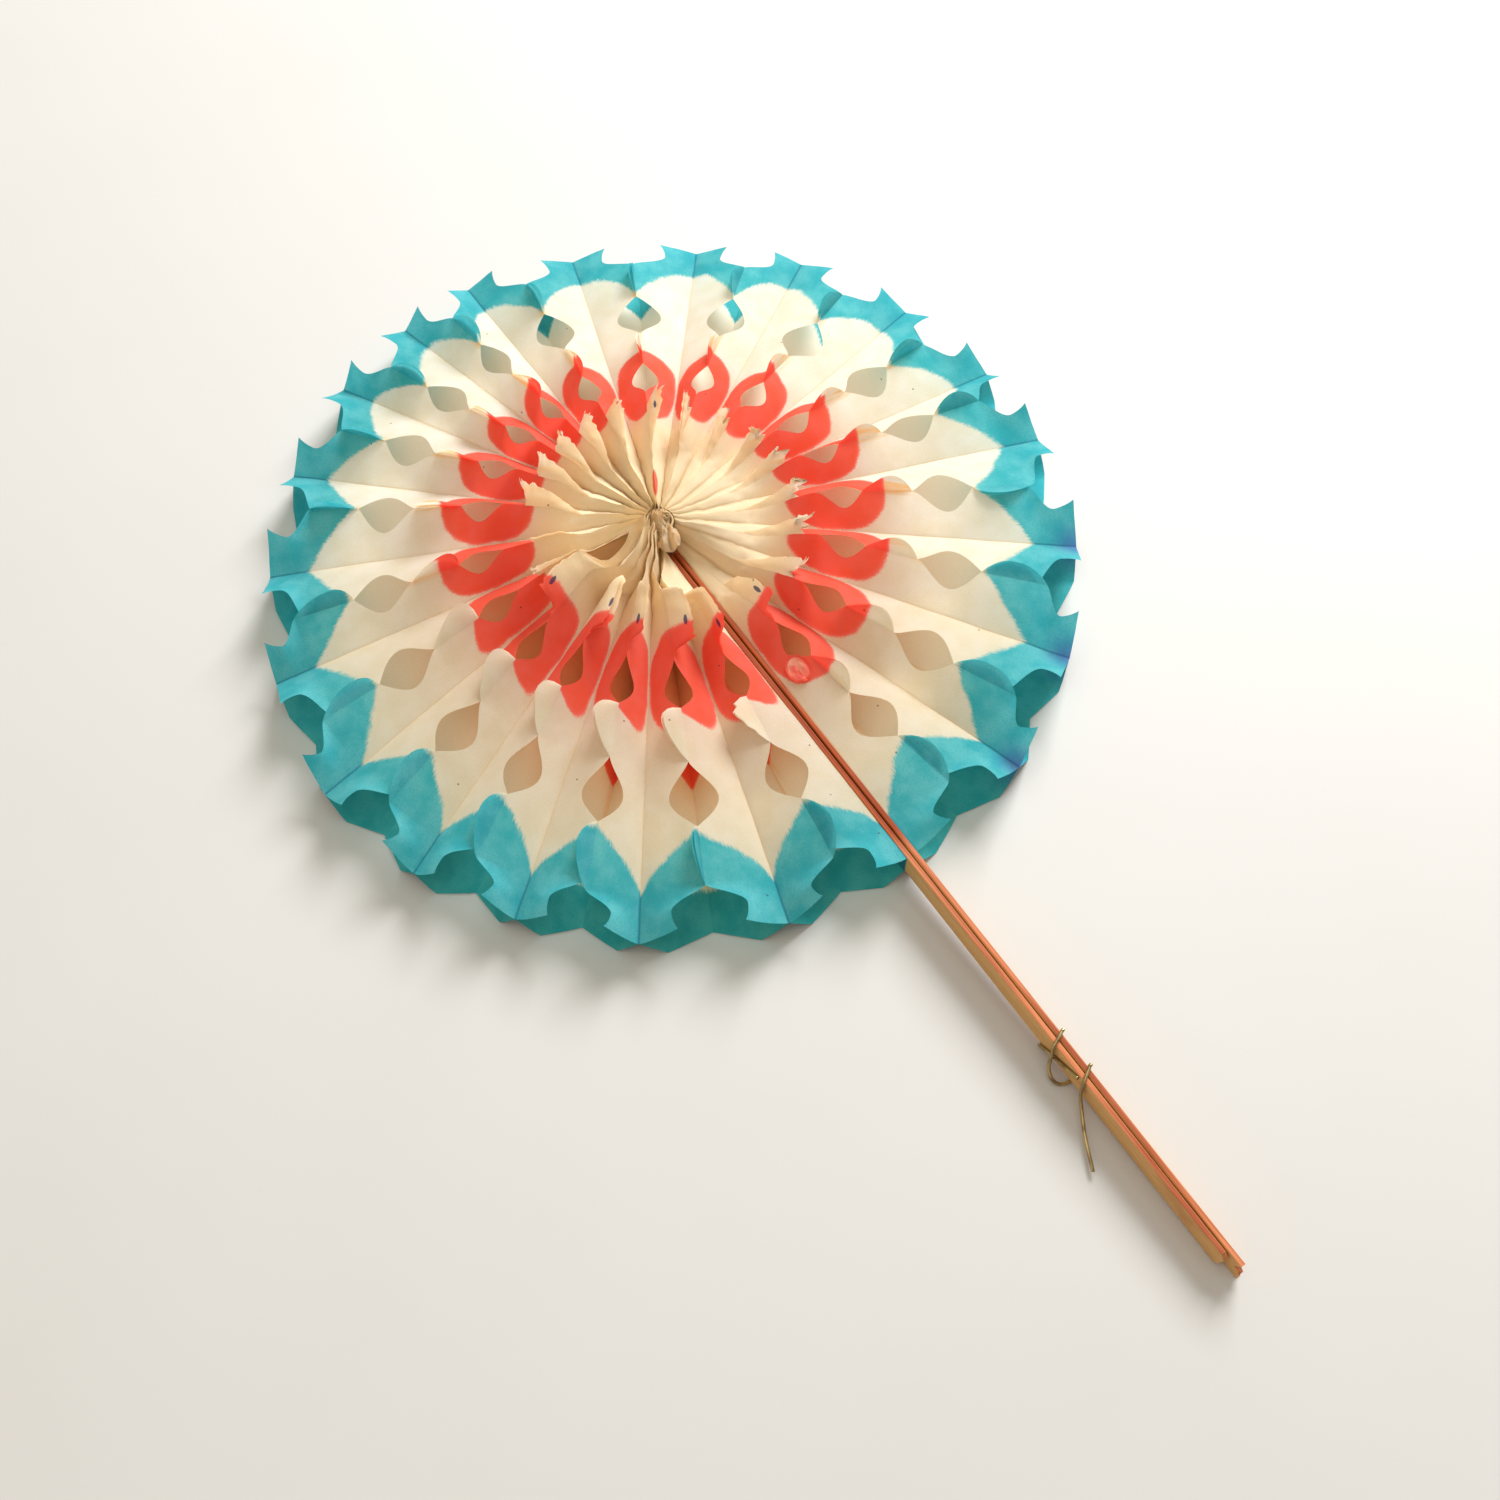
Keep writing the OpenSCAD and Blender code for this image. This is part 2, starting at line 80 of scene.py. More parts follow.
# Opening of each cell in degrees, and the place of its ridge in hundredths of that
CELL_OPENING = [19, 18, 18, 19, 14, 17, 19, 17, 20, 17, 12, 14, 17, 18, 18, 19, 17, 15, 16, 19, 17]
RIDGE_PLACE = [51, 42, 49, 48, 56, 50, 46, 46, 52, 54, 53, 60, 53, 45, 58, 58, 54, 50, 55, 49, 50]
# Reach of each valley and height of its tips, in hundredths of the rim's radius and the ridge's height
VALLEY_REACH = [100, 102, 102, 102, 101, 100, 99, 100, 98, 99, 102, 101, 100, 98, 97, 98, 100, 100, 100,
                101, 101, 100]
TIP_HEIGHT = [120, 140, 140, 140, 120, 100, 80, 60, 60, 60, 80, 100, 120, 120, 140, 140, 140, 140, 140,
              140, 140, 120]
RIM_HEIGHT = STICK_HEIGHT / 2 + (REAR_END - RIM) * math.tan(STICK_SLOPE)

# How the free flaps lean, cell by cell, in degrees from upright. A positive lean is the way that the
# cells count.
INNER_LEAN = [50, 60, 62, 62, 58, 50, 40, 10, -35, -55, -60, -60, -60, -60, 0, 5, -50, 50, 40, 50, 15]
MIDDLE_LEAN = [35, 45, 40, 25, 10, 10, 10, 10, 5, -5, -10, 5, 10, 10, -20, -55, -65, -66, -66, -62, -55]
OUTER_LEAN = [52, 56, 52, -60, 20, 0, 10, 20, 5, -5, -15, -10, 5, 10, -40, -60, -66, -66, -66, -15, 45]
# How far the folds near the centre are pulled flat, from 0 to 1
FLATNESS = [0.6, 0.9, 1, 1, 1, 1, 0.8, 0.4, 0.1, 0.1, 0.4, 0.5, 0.5, 0.5, 0.3, 0, 0, 0, 0, 0, 0]
# Height of the inner tabs, in millimetres
TAB_HEIGHT = [5.0, 5.5, 5.0, 4.5, 4.5, 4.5, 4.0, 5.0, 6.0, 5.0, 5.0,
              5.0, 5.5, 6.0, 1.5, 5.0, 7.0, 5.0, 4.0, 6.0, 6.0]
# Radius where the inner tabs end
TAB_END = [32, 34, 34, 34, 34, 34, 33, 32, 33, 32, 32, 32, 32, 32, 30, 32, 33, 33, 33, 34, 33]

axis_low, axis_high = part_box("binding_thread")
AXIS = (axis_low + axis_high) / 2
AXIS_MM = Vector((AXIS.x / MM, AXIS.y / MM, 0))


# Shape of the fan

def ease(value):
    """A soft step from 0 to 1."""
    value = min(1.0, max(0.0, value))
    return value * value * (3 - 2 * value)


def opened(place):
    """Sum of the cells' openings before a place round the fan, in degrees."""
    whole = min(int(place), CELLS - 1)
    return sum(CELL_OPENING[:whole]) + (place - whole) * CELL_OPENING[whole]


def angle_at(place, r):
    """Angle of a place round the fan: the first and last valleys lie on the sticks' outer faces."""
    start = math.asin(STICK_FACE / max(r, CORE))
    return start + (2 * math.pi - 2 * start) * opened(place) / 360


def stretch(reach, r):
    """How far a radius is stretched, gradually from the core to the rim."""
    return 1 + (reach / 100 - 1) * (r - CORE) / (RIM - CORE)


def valley_height(valley, r):
    """Height of a glued valley: a cone that flattens to the slope of the sticks near the handle."""
    from_handle = min(opened(valley), 360 - opened(valley))
    share = 1 - math.exp(-(from_handle / BLEND_ANGLE) ** 2)
    stick = math.tan(STICK_SLOPE)
    return RIM_HEIGHT + (RIM - r) * (stick + (CONE_RISE / RIM - stick) * share)


def polar(radius, angle, height):
    return Vector((radius * math.cos(angle), radius * math.sin(angle), height))


def valley_point(valley, r, up):
    """A point of a valley: on the sticks the sheet leaves the face at its upper or lower edge."""
    on_stick = valley in (0, CELLS)
    height = valley_height(valley, r) + (up * GLUED_HALF if on_stick else 0)
    return polar(r * stretch(VALLEY_REACH[valley], r), angle_at(valley, r), height)


def between(cell, r, share):
    """Radius and angle of a line between the two valleys of a cell."""
    first = angle_at(cell, r)
    second = angle_at(cell + 1, r)
    reach = (VALLEY_REACH[cell] + VALLEY_REACH[cell + 1]) / 2
    radius = math.hypot(r, r * (second - first) / 2) * stretch(reach, r)
    return radius, first + share * (second - first)


# How the ridge rises along the neck: less and later where a fold is pulled flat
NECK_RISE = 0.2
NECK_RISE_LENGTH = 14.0
SHOULDER = 0.8
SHOULDER_START = 16.0
SHOULDER_LENGTH = 6.0
FLAT_DELAY = 5.0
FLAT_START = 27.0
FLAT_LENGTH = 12.0
# Necks on the near side, which are gathered into a narrow bundle and stand a little higher
GATHERED_CELLS = range(15, 21)
GATHERED_RISE = 0.2
GATHERED_RISE_END = 14.0
GATHERED_RISE_BLEND = 8.0


def ridge_point(cell, r):
    """A point of the ridge between two upper panels, which sinks along the neck towards the core."""
    radius, angle = between(cell, r, RIDGE_PLACE[cell] / 100)
    mean = (valley_height(cell, r) + valley_height(cell + 1, r)) / 2
    over = RIDGE_HEIGHT + RIDGE_GAIN * max(0, 1 - r / OUTER_HOLE[0])
    flat = FLATNESS[cell]
    over *= 1 - 0.5 * flat * (1 - ease((r - FLAT_START) / FLAT_LENGTH))
    start = NECK_SHARE * (1 - 0.8 * flat)
    neck = start + (NECK_RISE - 0.1 * flat) * ease((r - CORE) / NECK_RISE_LENGTH)
    delay = FLAT_DELAY * flat
    risen = ease((r - SHOULDER_START - delay) / (SHOULDER_LENGTH + delay))
    neck += (SHOULDER + 0.1 * flat - start) * risen
    if cell in GATHERED_CELLS:
        neck += GATHERED_RISE * (1 - ease((r - GATHERED_RISE_END) / GATHERED_RISE_BLEND))
    return polar(radius, angle, mean + over * neck)


def fold_point(cell, r):
    """A point of the lower fold, which lies on the table and rises a little towards the core."""
    radius, angle = between(cell, r, 0.5)
    return polar(radius, angle, FOLD_LOW + FOLD_RISE * max(0, 1 - r / INNER_HOLE[0]))


def hole_curve(part, swell):
    """Half of a hole's width along its length, from 0 to 1, widest where part is swell."""
    return max(0.0, math.sin(math.pi * part ** (math.log(0.5) / math.log(swell)))) ** 1.05


# The gathered necks: directions round the fan, in degrees, and where they move to
GATHERED = [(247, 247), (267, 277), (285, 305), (301, 312),
            (316, 317), (334, 323), (352, 331), (360, 360)]
GATHER_START = 13.0
GATHER_END = 24.0
GATHER_WAVE = 1.5
WAVE_LENGTH = 8.0
WAVE_BLEND = 20.0
STICK_CLEARANCE = 2.0


def gather(point):
    """Moves a point of the necks on the near side into their wavy bundle, clear of the sticks."""
    radius = math.hypot(point.x, point.y)
    turn = math.degrees(math.atan2(point.y, point.x)) % 360
    weight = 1 - ease((radius - GATHER_START) / (GATHER_END - GATHER_START))
    if point.x > 0:
        weight *= ease((-point.y - STICK_FACE) / STICK_CLEARANCE)
    shift = 0.0
    for (start, new_start), (end, new_end) in zip(GATHERED, GATHERED[1:]):
        if start < turn <= end:
            swing = GATHER_WAVE * math.sin(2 * math.pi * radius / WAVE_LENGTH)
            wave = swing * ease((turn - GATHERED[0][0]) / WAVE_BLEND)
            shift = new_start + (new_end - new_start) * (turn - start) / (end - start) - turn + wave
    return polar(radius, math.radians(turn + shift * weight), point.z)


# Without a seed, the crumple's vector noise would differ from run to run
CRUMPLE_SEED = 21
noise.seed_set(CRUMPLE_SEED)
# How large the crumple is at the rim and how much it gains at the centre, and its waves per millimetre
CRUMPLE_RIM = 0.25
CRUMPLE_CENTRE = 1.1
CRUMPLE_REACH = 18.0
SLOW_WAVES = 0.09
FAST_WAVES = 0.27
SMALL_WAVES = 0.55
SMALL_SIZE = 0.3
SMALL_REACH = 30.0
FAST_OFFSET = Vector((31, 7, 13))
SMALL_OFFSET = Vector((5, 17, 3))
TABLE_CLEARANCE = 3.0


def crumple(point):
    """Moves a point a little, as paper that was folded for years, and more near the centre."""
    radius = math.hypot(point.x, point.y)
    near = CRUMPLE_RIM + CRUMPLE_CENTRE * math.exp(-(radius / CRUMPLE_REACH) ** 2)
    slow = noise.noise_vector(point * SLOW_WAVES)
    fast = noise.noise_vector(point * FAST_WAVES + FAST_OFFSET)
    small = noise.noise_vector(point * SMALL_WAVES + SMALL_OFFSET)
    small = small * SMALL_SIZE * math.exp(-(radius / SMALL_REACH) ** 4)
    moved = (slow * 0.5 + fast * 0.25) * near + small
    low = ease(point.z / TABLE_CLEARANCE)
    return point + Vector((moved.x, moved.y, moved.z * low))


# Collects grids of paper points into one mesh, with the named values that the material reads

FIELDS = ("teal_depth", "red_depth", "from_valley", "from_ridge",
          "lower", "stain_and_shade", "dim", "violet", "tone")
TILE_COLUMNS = 4
TILE_ROWS = 22
TILE_WIDTH = 106.0
TILE_HEIGHT = 24.0
# Distance between tiles on the map of fibres and clouds
SHEET_SPACING = 40.0


def linked(name, data):
    """A new object of the scene with the given data."""
    thing = bpy.data.objects.new(name, data)
    bpy.context.scene.collection.objects.link(thing)
    return thing


class Sheets:
    """The points, faces and named values of all the sheets."""

    def __init__(self):
        self.points = []
        self.faces = []
        self.sheet = []
        self.bake = []
        self.ink = []
        self.materials = []
        self.fields = {name: [] for name in FIELDS}

    def add(self, grid, tile, flip, material=0):
        """Adds a grid of (point, r, y, fields, ink) in the given tile of the baking map."""
        start = len(self.points)
        rows = len(grid[0])
        left = tile % TILE_COLUMNS
        low = tile // TILE_COLUMNS
        for column in grid:
            for point, r, y, fields, ink in column:
                self.points.append(crumple(point))
                self.sheet.append((r, y + SHEET_SPACING * tile))
                self.bake.append(((left + 0.02 + 0.96 * r / TILE_WIDTH) / TILE_COLUMNS,
                                  (low + 0.04 + 0.92 * y / TILE_HEIGHT) / TILE_ROWS))
                self.ink.append(ink)
                for name in FIELDS:
                    self.fields[name].append(fields[name])
        for k in range(len(grid) - 1):
            for j in range(rows - 1):
                a = start + k * rows + j
                face = (a, a + rows, a + rows + 1, a + 1)
                self.faces.append(tuple(reversed(face)) if flip else face)
                self.materials.append(material)

    def build(self, name):
        mesh = bpy.data.meshes.new(name)
        mesh.from_pydata([(p + AXIS_MM) * MM for p in self.points], [], self.faces)
        for uv_name, places in (("sheet", self.sheet), ("OFBake", self.bake)):
            layer = mesh.uv_layers.new(name=uv_name)
            for loop in mesh.loops:
                layer.data[loop.index].uv = places[loop.vertex_index]
        for field, values in self.fields.items():
            mesh.attributes.new(field, "FLOAT", "POINT").data.foreach_set("value", values)
        flat = [value for place in self.ink for value in place]
        mesh.attributes.new("ink_place", "FLOAT_VECTOR", "POINT").data.foreach_set("vector", flat)
        mesh.polygons.foreach_set("use_smooth", [True] * len(mesh.polygons))
        mesh.polygons.foreach_set("material_index", self.materials)
        mesh.update()
        return linked(name, mesh)


NO_INK = (9.0, 9.0, 0.0)

# Where the dyes reach, in millimetres, and how square the red patches are

TEAL_VALLEY = 89.5
TEAL_RIDGE = 76.5
LOW_TEAL_FOLD = 80.0
RED_CENTRE = 42.0
RED_LENGTH = 11.8
RED_POWER = 2.6
# Depth where there is no red at all
NO_RED = -5.0


def teal_power(cell):
    """Shape of the teal band's front: pointed on the near side, round on the far side."""
    away = 1 - 2 * near_side(cell)
    return 1.0 + (0.9 if away > 0 else 0.35) * away


def near_side(cell):
    """1 for the cells nearest to the camera's side, 0 for the ones on the far side."""
    return 0.5 - 0.5 * math.sin(math.radians(HANDLE_DIRECTION + opened(cell + 0.5)))


def low_painted_shade(cell, r):
    """How much painted shade browns the lower sheet, for the warm shade inside the cells: most of all
    near the centre on the near side, and a little on the far side.
    """
    near = near_side(cell)
    return min(1.0, near ** 2 * 1.5 * (1 - 0.65 * ease((r - 35) / 40)) + 0.15 * (1 - near) ** 2)


def teal_depth(cell, r, share, up):
    """Depth inside the teal band at the rim, negative outside it."""
    ridge = TEAL_RIDGE if up > 0 else LOW_TEAL_FOLD + 5.5 * near_side(cell)
    front = TEAL_VALLEY - (TEAL_VALLEY - ridge) * share ** teal_power(cell)
    return r - front


# Cells where the red has soaked through to the lower fold, with the radius in the middle of the patch
SOAKED = {14: 43.0, 17: 52.0, 18: 56.0, 19: 56.0, 20: 55.0}
SOAKED_HALF_LENGTH = 5.0
SOAKED_TAPER = 11.0


def low_red_depth(cell, r, share):
    """Depth inside the pointed red patch on a lower fold."""
    if cell not in SOAKED:
        return NO_RED
    return SOAKED_HALF_LENGTH - abs(r - SOAKED[cell]) - SOAKED_TAPER * (1 - share)


# Valleys whose ends at the rim have a violet tinge
VIOLET = (1, 2, 3)
VIOLET_START = 92.0
VIOLET_LENGTH = 8.0
VIOLET_SHARE = 0.4


def violet_tinge(cell, side, r, share):
    valley = cell if side < 0 else cell + 1
    if valley not in VIOLET:
        return 0.0
    return ease((r - VIOLET_START) / VIOLET_LENGTH) * (1 - ease(share / VIOLET_SHARE))


def red_depth(cell, side, r, share, up):
    """Depth inside the red patch round the inner hole, negative outside it.

    On the near side the patch is squarer on one of the two sheets, and ends at the hole along the
    ridge."""
    if up < 0:
        return low_red_depth(cell, r, share)
    square = ease((near_side(cell) - 0.55) / 0.25) if side > 0 and cell > CELLS // 2 else 0.0
    across = (1 - min(1.0, share)) / 0.97
    length = RED_LENGTH
    if r > RED_CENTRE:
        length *= 1 - square * (0.38 - 0.5 * across)
    along = abs(r - RED_CENTRE) / length
    power = RED_POWER + 1.6 * square
    return RED_LENGTH * (1 - (along ** power + across ** power) ** (1 / power))


def spread(start, end, count):
    """Places from start up to the end, without the end itself, closer together at both ends."""
    return [start + (end - start) * (0.5 - 0.5 * math.cos(math.pi * i / count)) for i in range(count)]


INNER_SWELL = 0.62
OUTER_SWELL = 0.57
NOTCH_STEPS = 16
# Part of the notch's length over which it reaches its full depth
NOTCH_BEND = 0.6


def upper_columns(notch_start):
    """Columns of an upper panel: radius in the valley, radius at the edge, share of the width and part of
    the tip's lift."""
    columns = []
    for r in spread(CORE, NECK_END, 16) + spread(NECK_END, INNER_HOLE[0], 12):
        columns.append((r, r, 1.0, 0.0))
    for r in spread(*INNER_HOLE, 18):
        part = (r - INNER_HOLE[0]) / (INNER_HOLE[1] - INNER_HOLE[0])
        columns.append((r, r, 1 - (1 - INNER_SHARE) * hole_curve(part, INNER_SWELL), 0.0))
    for r in spread(INNER_HOLE[1], OUTER_HOLE[0], 10):
        columns.append((r, r, 1.0, 0.0))
    for r in spread(*OUTER_HOLE, 20):
        part = (r - OUTER_HOLE[0]) / (OUTER_HOLE[1] - OUTER_HOLE[0])
        columns.append((r, r, 1 - (1 - OUTER_SHARE) * hole_curve(part, OUTER_SWELL), 0.0))
    for r in spread(OUTER_HOLE[1], notch_start, 10):
        columns.append((r, r, 1.0, 0.0))
    for i in range(NOTCH_STEPS + 1):
        part = i / NOTCH_STEPS
        edge = notch_start + (RIM - TIP_SETBACK - notch_start) * part
        cut = (1 - NOTCH_SHARE) * math.sin(math.pi / 2 * min(1.0, part / NOTCH_BEND)) ** 1.25
        share = 1 - cut + TIP_HOOK * part ** 5
        columns.append((notch_start + (RIM - notch_start) * part, edge, share, part))
    return columns


NOTCH_SHIFT = 2.2
# Lean in degrees from which a flap lies over, and how much more it takes to lie right down
LEAN_OVER = 35
LEAN_MORE = 25


def notch_of(cell, side):
    """Radius where a sheet's notch starts: later where its outer flap lies over the other sheet's."""
    lean = OUTER_LEAN[cell]
    return NOTCH_START + (NOTCH_SHIFT if lean * side < 0 and abs(lean) > LEAN_OVER else 0.0)


UPPER_ROWS = 9
LOWER_ROWS = 8
LOWER_COLUMNS = 46
GLUED_COLUMNS = 40
GLUED_OFFSET = 0.03
FLAP_ROWS = 5
FLAP_GAP = 0.08
FLAP_BEND = 0.8
# Torn ends of the inner tabs: length, how ragged they are and how far they run out to a point
TORN_LENGTH = 1.6
TORN_REACH = [2.2] * 8 + [0.35] * 13
POINTED_REACH = [0.0] * 8 + [2.0] * 13
# How far a panel bulges, in full beyond a radius
BULGE = 0.7
BULGE_RADIUS = 40.0
# Radius from which the lower sheet springs open towards the rim
SPRING_START = 82.0


def panel_fields(cell, side, r, share, width, up, tone):
    """The named values at a place on a panel, for the material."""
    return {
        "teal_depth": teal_depth(cell, r, min(1.0, share), up),
        "red_depth": red_depth(cell, side, r, share, up),
        "from_valley": share * width,
        "from_ridge": (1 - share) * width,
        "violet": violet_tinge(cell, side, r, share),
        "lower": 0.0 if up > 0 else 1.0,
        # On the lower sheets, the amount of painted shade; on the upper ones, the share of ridge stain,
        # whose lack gives a painted shade on the near side
        "stain_and_shade": low_painted_shade(cell, r) if up < 0 else 1 - ease((near_side(cell) - 0.4) / 0.4),
        # Painted shade of the lower sheets on the far side
        "dim": 0.0 if up > 0 else (1 - near_side(cell)) ** 2,
        "tone": tone,
    }


# A neck whose ridge has come open
GAP_CELL = 15
GAP_START = 8.0
GAP_END = 21.0
GAP_DEPTH = 0.6


def gap_share(cell, r):
    """Share of a panel's width that is left beside the gap."""
    if cell != GAP_CELL or not GAP_START < r < GAP_END:
        return 1.0
    return 1 - GAP_DEPTH * math.sin(math.pi * (r - GAP_START) / (GAP_END - GAP_START))


# A red lens painted along one neck's ridge, for a slit where red shows through
SLIT_CELL = 8
SLIT_CENTRE = 9.5
SLIT_LENGTH = 4.2
SLIT_WIDTH = 1.5


def upper_panel(cell, side, tone):
    """The grid of one upper panel, from its valley to the cut edge."""
    valley = cell if side < 0 else cell + 1
    lift = (TIP_HEIGHT[valley] / 100 - TIP_SHARE) * RIDGE_HEIGHT
    grid = []
    for r_valley, r_edge, edge_share, lifted in upper_columns(notch_of(cell, side)):
        column = []
        for j in range(UPPER_ROWS + 1):
            part = j / UPPER_ROWS
            r = r_valley + (r_edge - r_valley) * part ** 1.4
            share = edge_share * part * gap_share(cell, r_valley)
            low = valley_point(valley, r, 1)
            high = ridge_point(cell, r)
            point = low + (high - low) * share
            bulge = BULGE * ease(r / BULGE_RADIUS) * 2 * share * (1 - share)
            point.z += lift * lifted * part ** 1.5 + bulge
            width = (high - low).length
            fields = panel_fields(cell, side, r, share, width, 1, tone)
            mark = NO_INK
            if cell == SLIT_CELL and r < NECK_END:
                mark = ((r - SLIT_CENTRE) / SLIT_LENGTH, (1 - share) * width / SLIT_WIDTH, 1.0)
            column.append((gather(point), r, share * width, fields, mark))
        grid.append(column)
    return grid


def lower_panel(cell, side, tone):
    """The grid of one lower panel, from its valley to the fold on the table."""
    valley = cell if side < 0 else cell + 1
    grid = []
    for k in range(LOWER_COLUMNS + 1):
        along = k / LOWER_COLUMNS
        column = []
        for j in range(LOWER_ROWS + 1):
            share = j / LOWER_ROWS
            cut = max(0.0, (share - LOW_TIP_SHARE) / (1 - LOW_TIP_SHARE))
            r = CORE + (RIM - (RIM - FOLD_END) * cut - CORE) * along
            low = valley_point(valley, r, -1)
            fold = fold_point(cell, r)
            sprung = ease((r - SPRING_START) / (RIM - SPRING_START))
            drop = share + (min(1.0, share / LOW_TIP_SHARE) - share) * sprung
            point = low + (fold - low) * share
            point.z = low.z + (fold.z - low.z) * drop
            width = (fold - low).length
            fields = panel_fields(cell, side, r, share, width, -1, tone)
            column.append((gather(point), r, share * width, fields, NO_INK))
        grid.append(column)
    return grid


def glued_strip(valley, tone):
    """The strip of paper on the outer face of a stick."""
    grid = []
    for r in spread(CORE, RIM, GLUED_COLUMNS) + [RIM]:
        column = []
        for up in (-1.0, -0.5, 0.0, 0.5, 1.0):
            middle = valley_point(valley, r, 0)
            away = GLUED_OFFSET if valley == 0 else -GLUED_OFFSET
            point = middle + Vector((0, away, up * GLUED_HALF))
            fields = panel_fields(0, -1, r, 0.0, 1.0, 1, tone)
            column.append((point, r, GLUED_HALF * (up + 1), fields, NO_INK))
        grid.append(column)
    return grid


def flap(cell, side, columns, lean, splay, curl, tone, ink, plain, torn):
    """A free flap above the ridge, from its columns of (radius, height), its lean and how far it curls.

    A flap that leans well over goes on smoothly from the panel that it belongs to. A plain flap has no
    red on it. A torn one has a ragged end, given by its radius and how far each row reaches past it."""
    grid = []
    valley = cell if side < 0 else cell + 1
    own_way = ease((abs(lean) - LEAN_OVER) / LEAN_MORE) if lean * side < 0 else 0.0
    for r, height in columns:
        base = ridge_point(cell, r)
        angle = math.atan2(base.y, base.x)
        tangent = Vector((-math.sin(angle), math.cos(angle), 0))
        outward = Vector((math.cos(angle), math.sin(angle), 0))
        rise = base - valley_point(valley, r, 1)
        width = rise.length
        panel_turn = math.degrees(math.atan2(rise.dot(tangent), rise.z))
        point = base + tangent * (FLAP_GAP * side)
        column = []
        for j in range(FLAP_ROWS + 1):
            part = j / FLAP_ROWS
            if j:
                bent = lean + curl * part + splay * side
                start = bent + (panel_turn - bent) * own_way
                turn = math.radians(start + (bent - start) * ease(part / FLAP_BEND))
                step = Vector((0, 0, 1)) * math.cos(turn) + tangent * math.sin(turn)
                point = point + step * (height / FLAP_ROWS)
            fields = panel_fields(cell, side, r, 1.0, width, 1, tone)
            fields["from_valley"] = width + height * part
            if plain:
                fields["red_depth"] = NO_RED
            mark = NO_INK
            if ink:
                mark = ((r - ink[0]) / ink[2], (height * part - ink[1]) / ink[3], 0.0)
            past = 0.0
            if torn:
                past = torn[1][j] * math.exp(-((r - torn[0]) / TORN_LENGTH) ** 2)
            column.append((gather(point + outward * past), r, width + height * part, fields, mark))
        grid.append(column)
    return grid


def scallop(start, end, height, shoulder, count):
    """Columns of a round scallop between two radii.

    The smaller the shoulder, the nearer to the centre its highest place is."""
    columns = []
    for r in spread(start, end, count) + [end]:
        part = (r - start) / (end - start)
        columns.append((r, height * max(0.0, math.sin(math.pi * part ** shoulder)) ** 0.75))
    return columns


TAB_START = 18.0
TAB_COLUMNS = 30
SQUARE_TABS = (16, 17, 18, 19, 20, 0)
# Radii where a square tab's shoulder and its slower rise start, and how long each is
SHOULDER_RISE = (19.5, 2.5)
SLOW_RISE = (21.0, 8.0)
# Length over which a tab is torn off, over which its rest runs out, and over which its edge gets ragged
TEAR_LENGTH = 1.2
TAIL_LENGTH = 2.0
RAGGED_START = 4.0
RAGGED_LENGTH = 3.0


def tab(cell, chance):
    """Columns of an inner tab: it rises slowly or with a square shoulder, to a torn end."""
    columns = []
    end = TAB_END[cell]
    start = GAP_END if cell == GAP_CELL else TAB_START
    square = cell in SQUARE_TABS
    last = INNER_HOLE[0] if square else end
    for r in spread(start, last, TAB_COLUMNS) + [last]:
        if square:
            shoulder = ease((r - SHOULDER_RISE[0]) / SHOULDER_RISE[1])
            rise = 0.75 * shoulder + 0.25 * ease((r - SLOW_RISE[0]) / SLOW_RISE[1])
        else:
            rise = ((r - start) / (end - start)) ** 1.15
        torn = 1 - 0.85 * ease((r - end) / TEAR_LENGTH)
        tail = 1 - ease((r - INNER_HOLE[0] + TAIL_LENGTH) / TAIL_LENGTH)
        rough = 0.03 + 0.12 * ease((r - end + RAGGED_START) / RAGGED_LENGTH)
        ragged = 1 + chance.uniform(-1, 1) * rough
        columns.append((r, TAB_HEIGHT[cell] * rise * torn * tail * ragged))
    return columns


HUB_RADIUS = 3.1
HUB_LOBE = 1.6
HUB_LOBE_TURN = math.radians(346)
HUB_HEIGHT = 22.6
HUB_PLEATS = 9
HUB_STEPS = 72
HUB_RINGS = 12
# Length and width that the hub and the scrap take up on the map of fibres and clouds
SMALL_SHEET = (8.0, 6.0)


def hub():
    """The crumpled ends of the sheets, gathered over the thread at the centre."""
    grid = []
    for k in range(HUB_STEPS + 1):
        turn = 2 * math.pi * k / HUB_STEPS
        column = []
        for j in range(HUB_RINGS + 1):
            part = j / HUB_RINGS
            place = Vector((math.cos(turn), math.sin(turn), 0)) * part * 2.6
            wave = noise.noise(place + Vector((3, 5, 7)))
            small = noise.noise(place * 3.6 + Vector((11, 2, 5)))
            pleat = math.sin(HUB_PLEATS * turn + 5 * wave)
            lobe = HUB_LOBE * max(0.0, math.cos(turn - HUB_LOBE_TURN)) ** 4
            radius = HUB_RADIUS * part * (1 + 0.2 * wave * part + lobe * part)
            height = HUB_HEIGHT + 1.0 * pleat * part + 1.8 * wave + 1.7 * small - 5.0 * part ** 2.5
            fields = panel_fields(0, -1, CORE, 0.4, 3.0, 1, 0.8)
            # The hub is coloured as a lower sheet: whiter cream as painted light, and a tan tone that
            # varies with the crumple
            fields["lower"] = 1.0
            fields["stain_and_shade"] = 0.6 + 0.6 * small
            along = SMALL_SHEET[0] * k / HUB_STEPS
            column.append((polar(radius, turn, height), along, SMALL_SHEET[1] * part, fields, NO_INK))
        grid.append(column)
    return grid


# A small scrap of red paper that is stuck on the panel beside the front stick
SCRAP_RADIUS = 49.0
SCRAP_SHARE = 0.5
SCRAP_LENGTH = 3.7
SCRAP_WIDTH = 2.8
SCRAP_LIFT = 0.75
SCRAP_STEPS = 24
SCRAP_RINGS = 6
# Depth of the red on it, and how narrow its darker rim is
SCRAP_RED = 0.35
SCRAP_RIM = 4.5


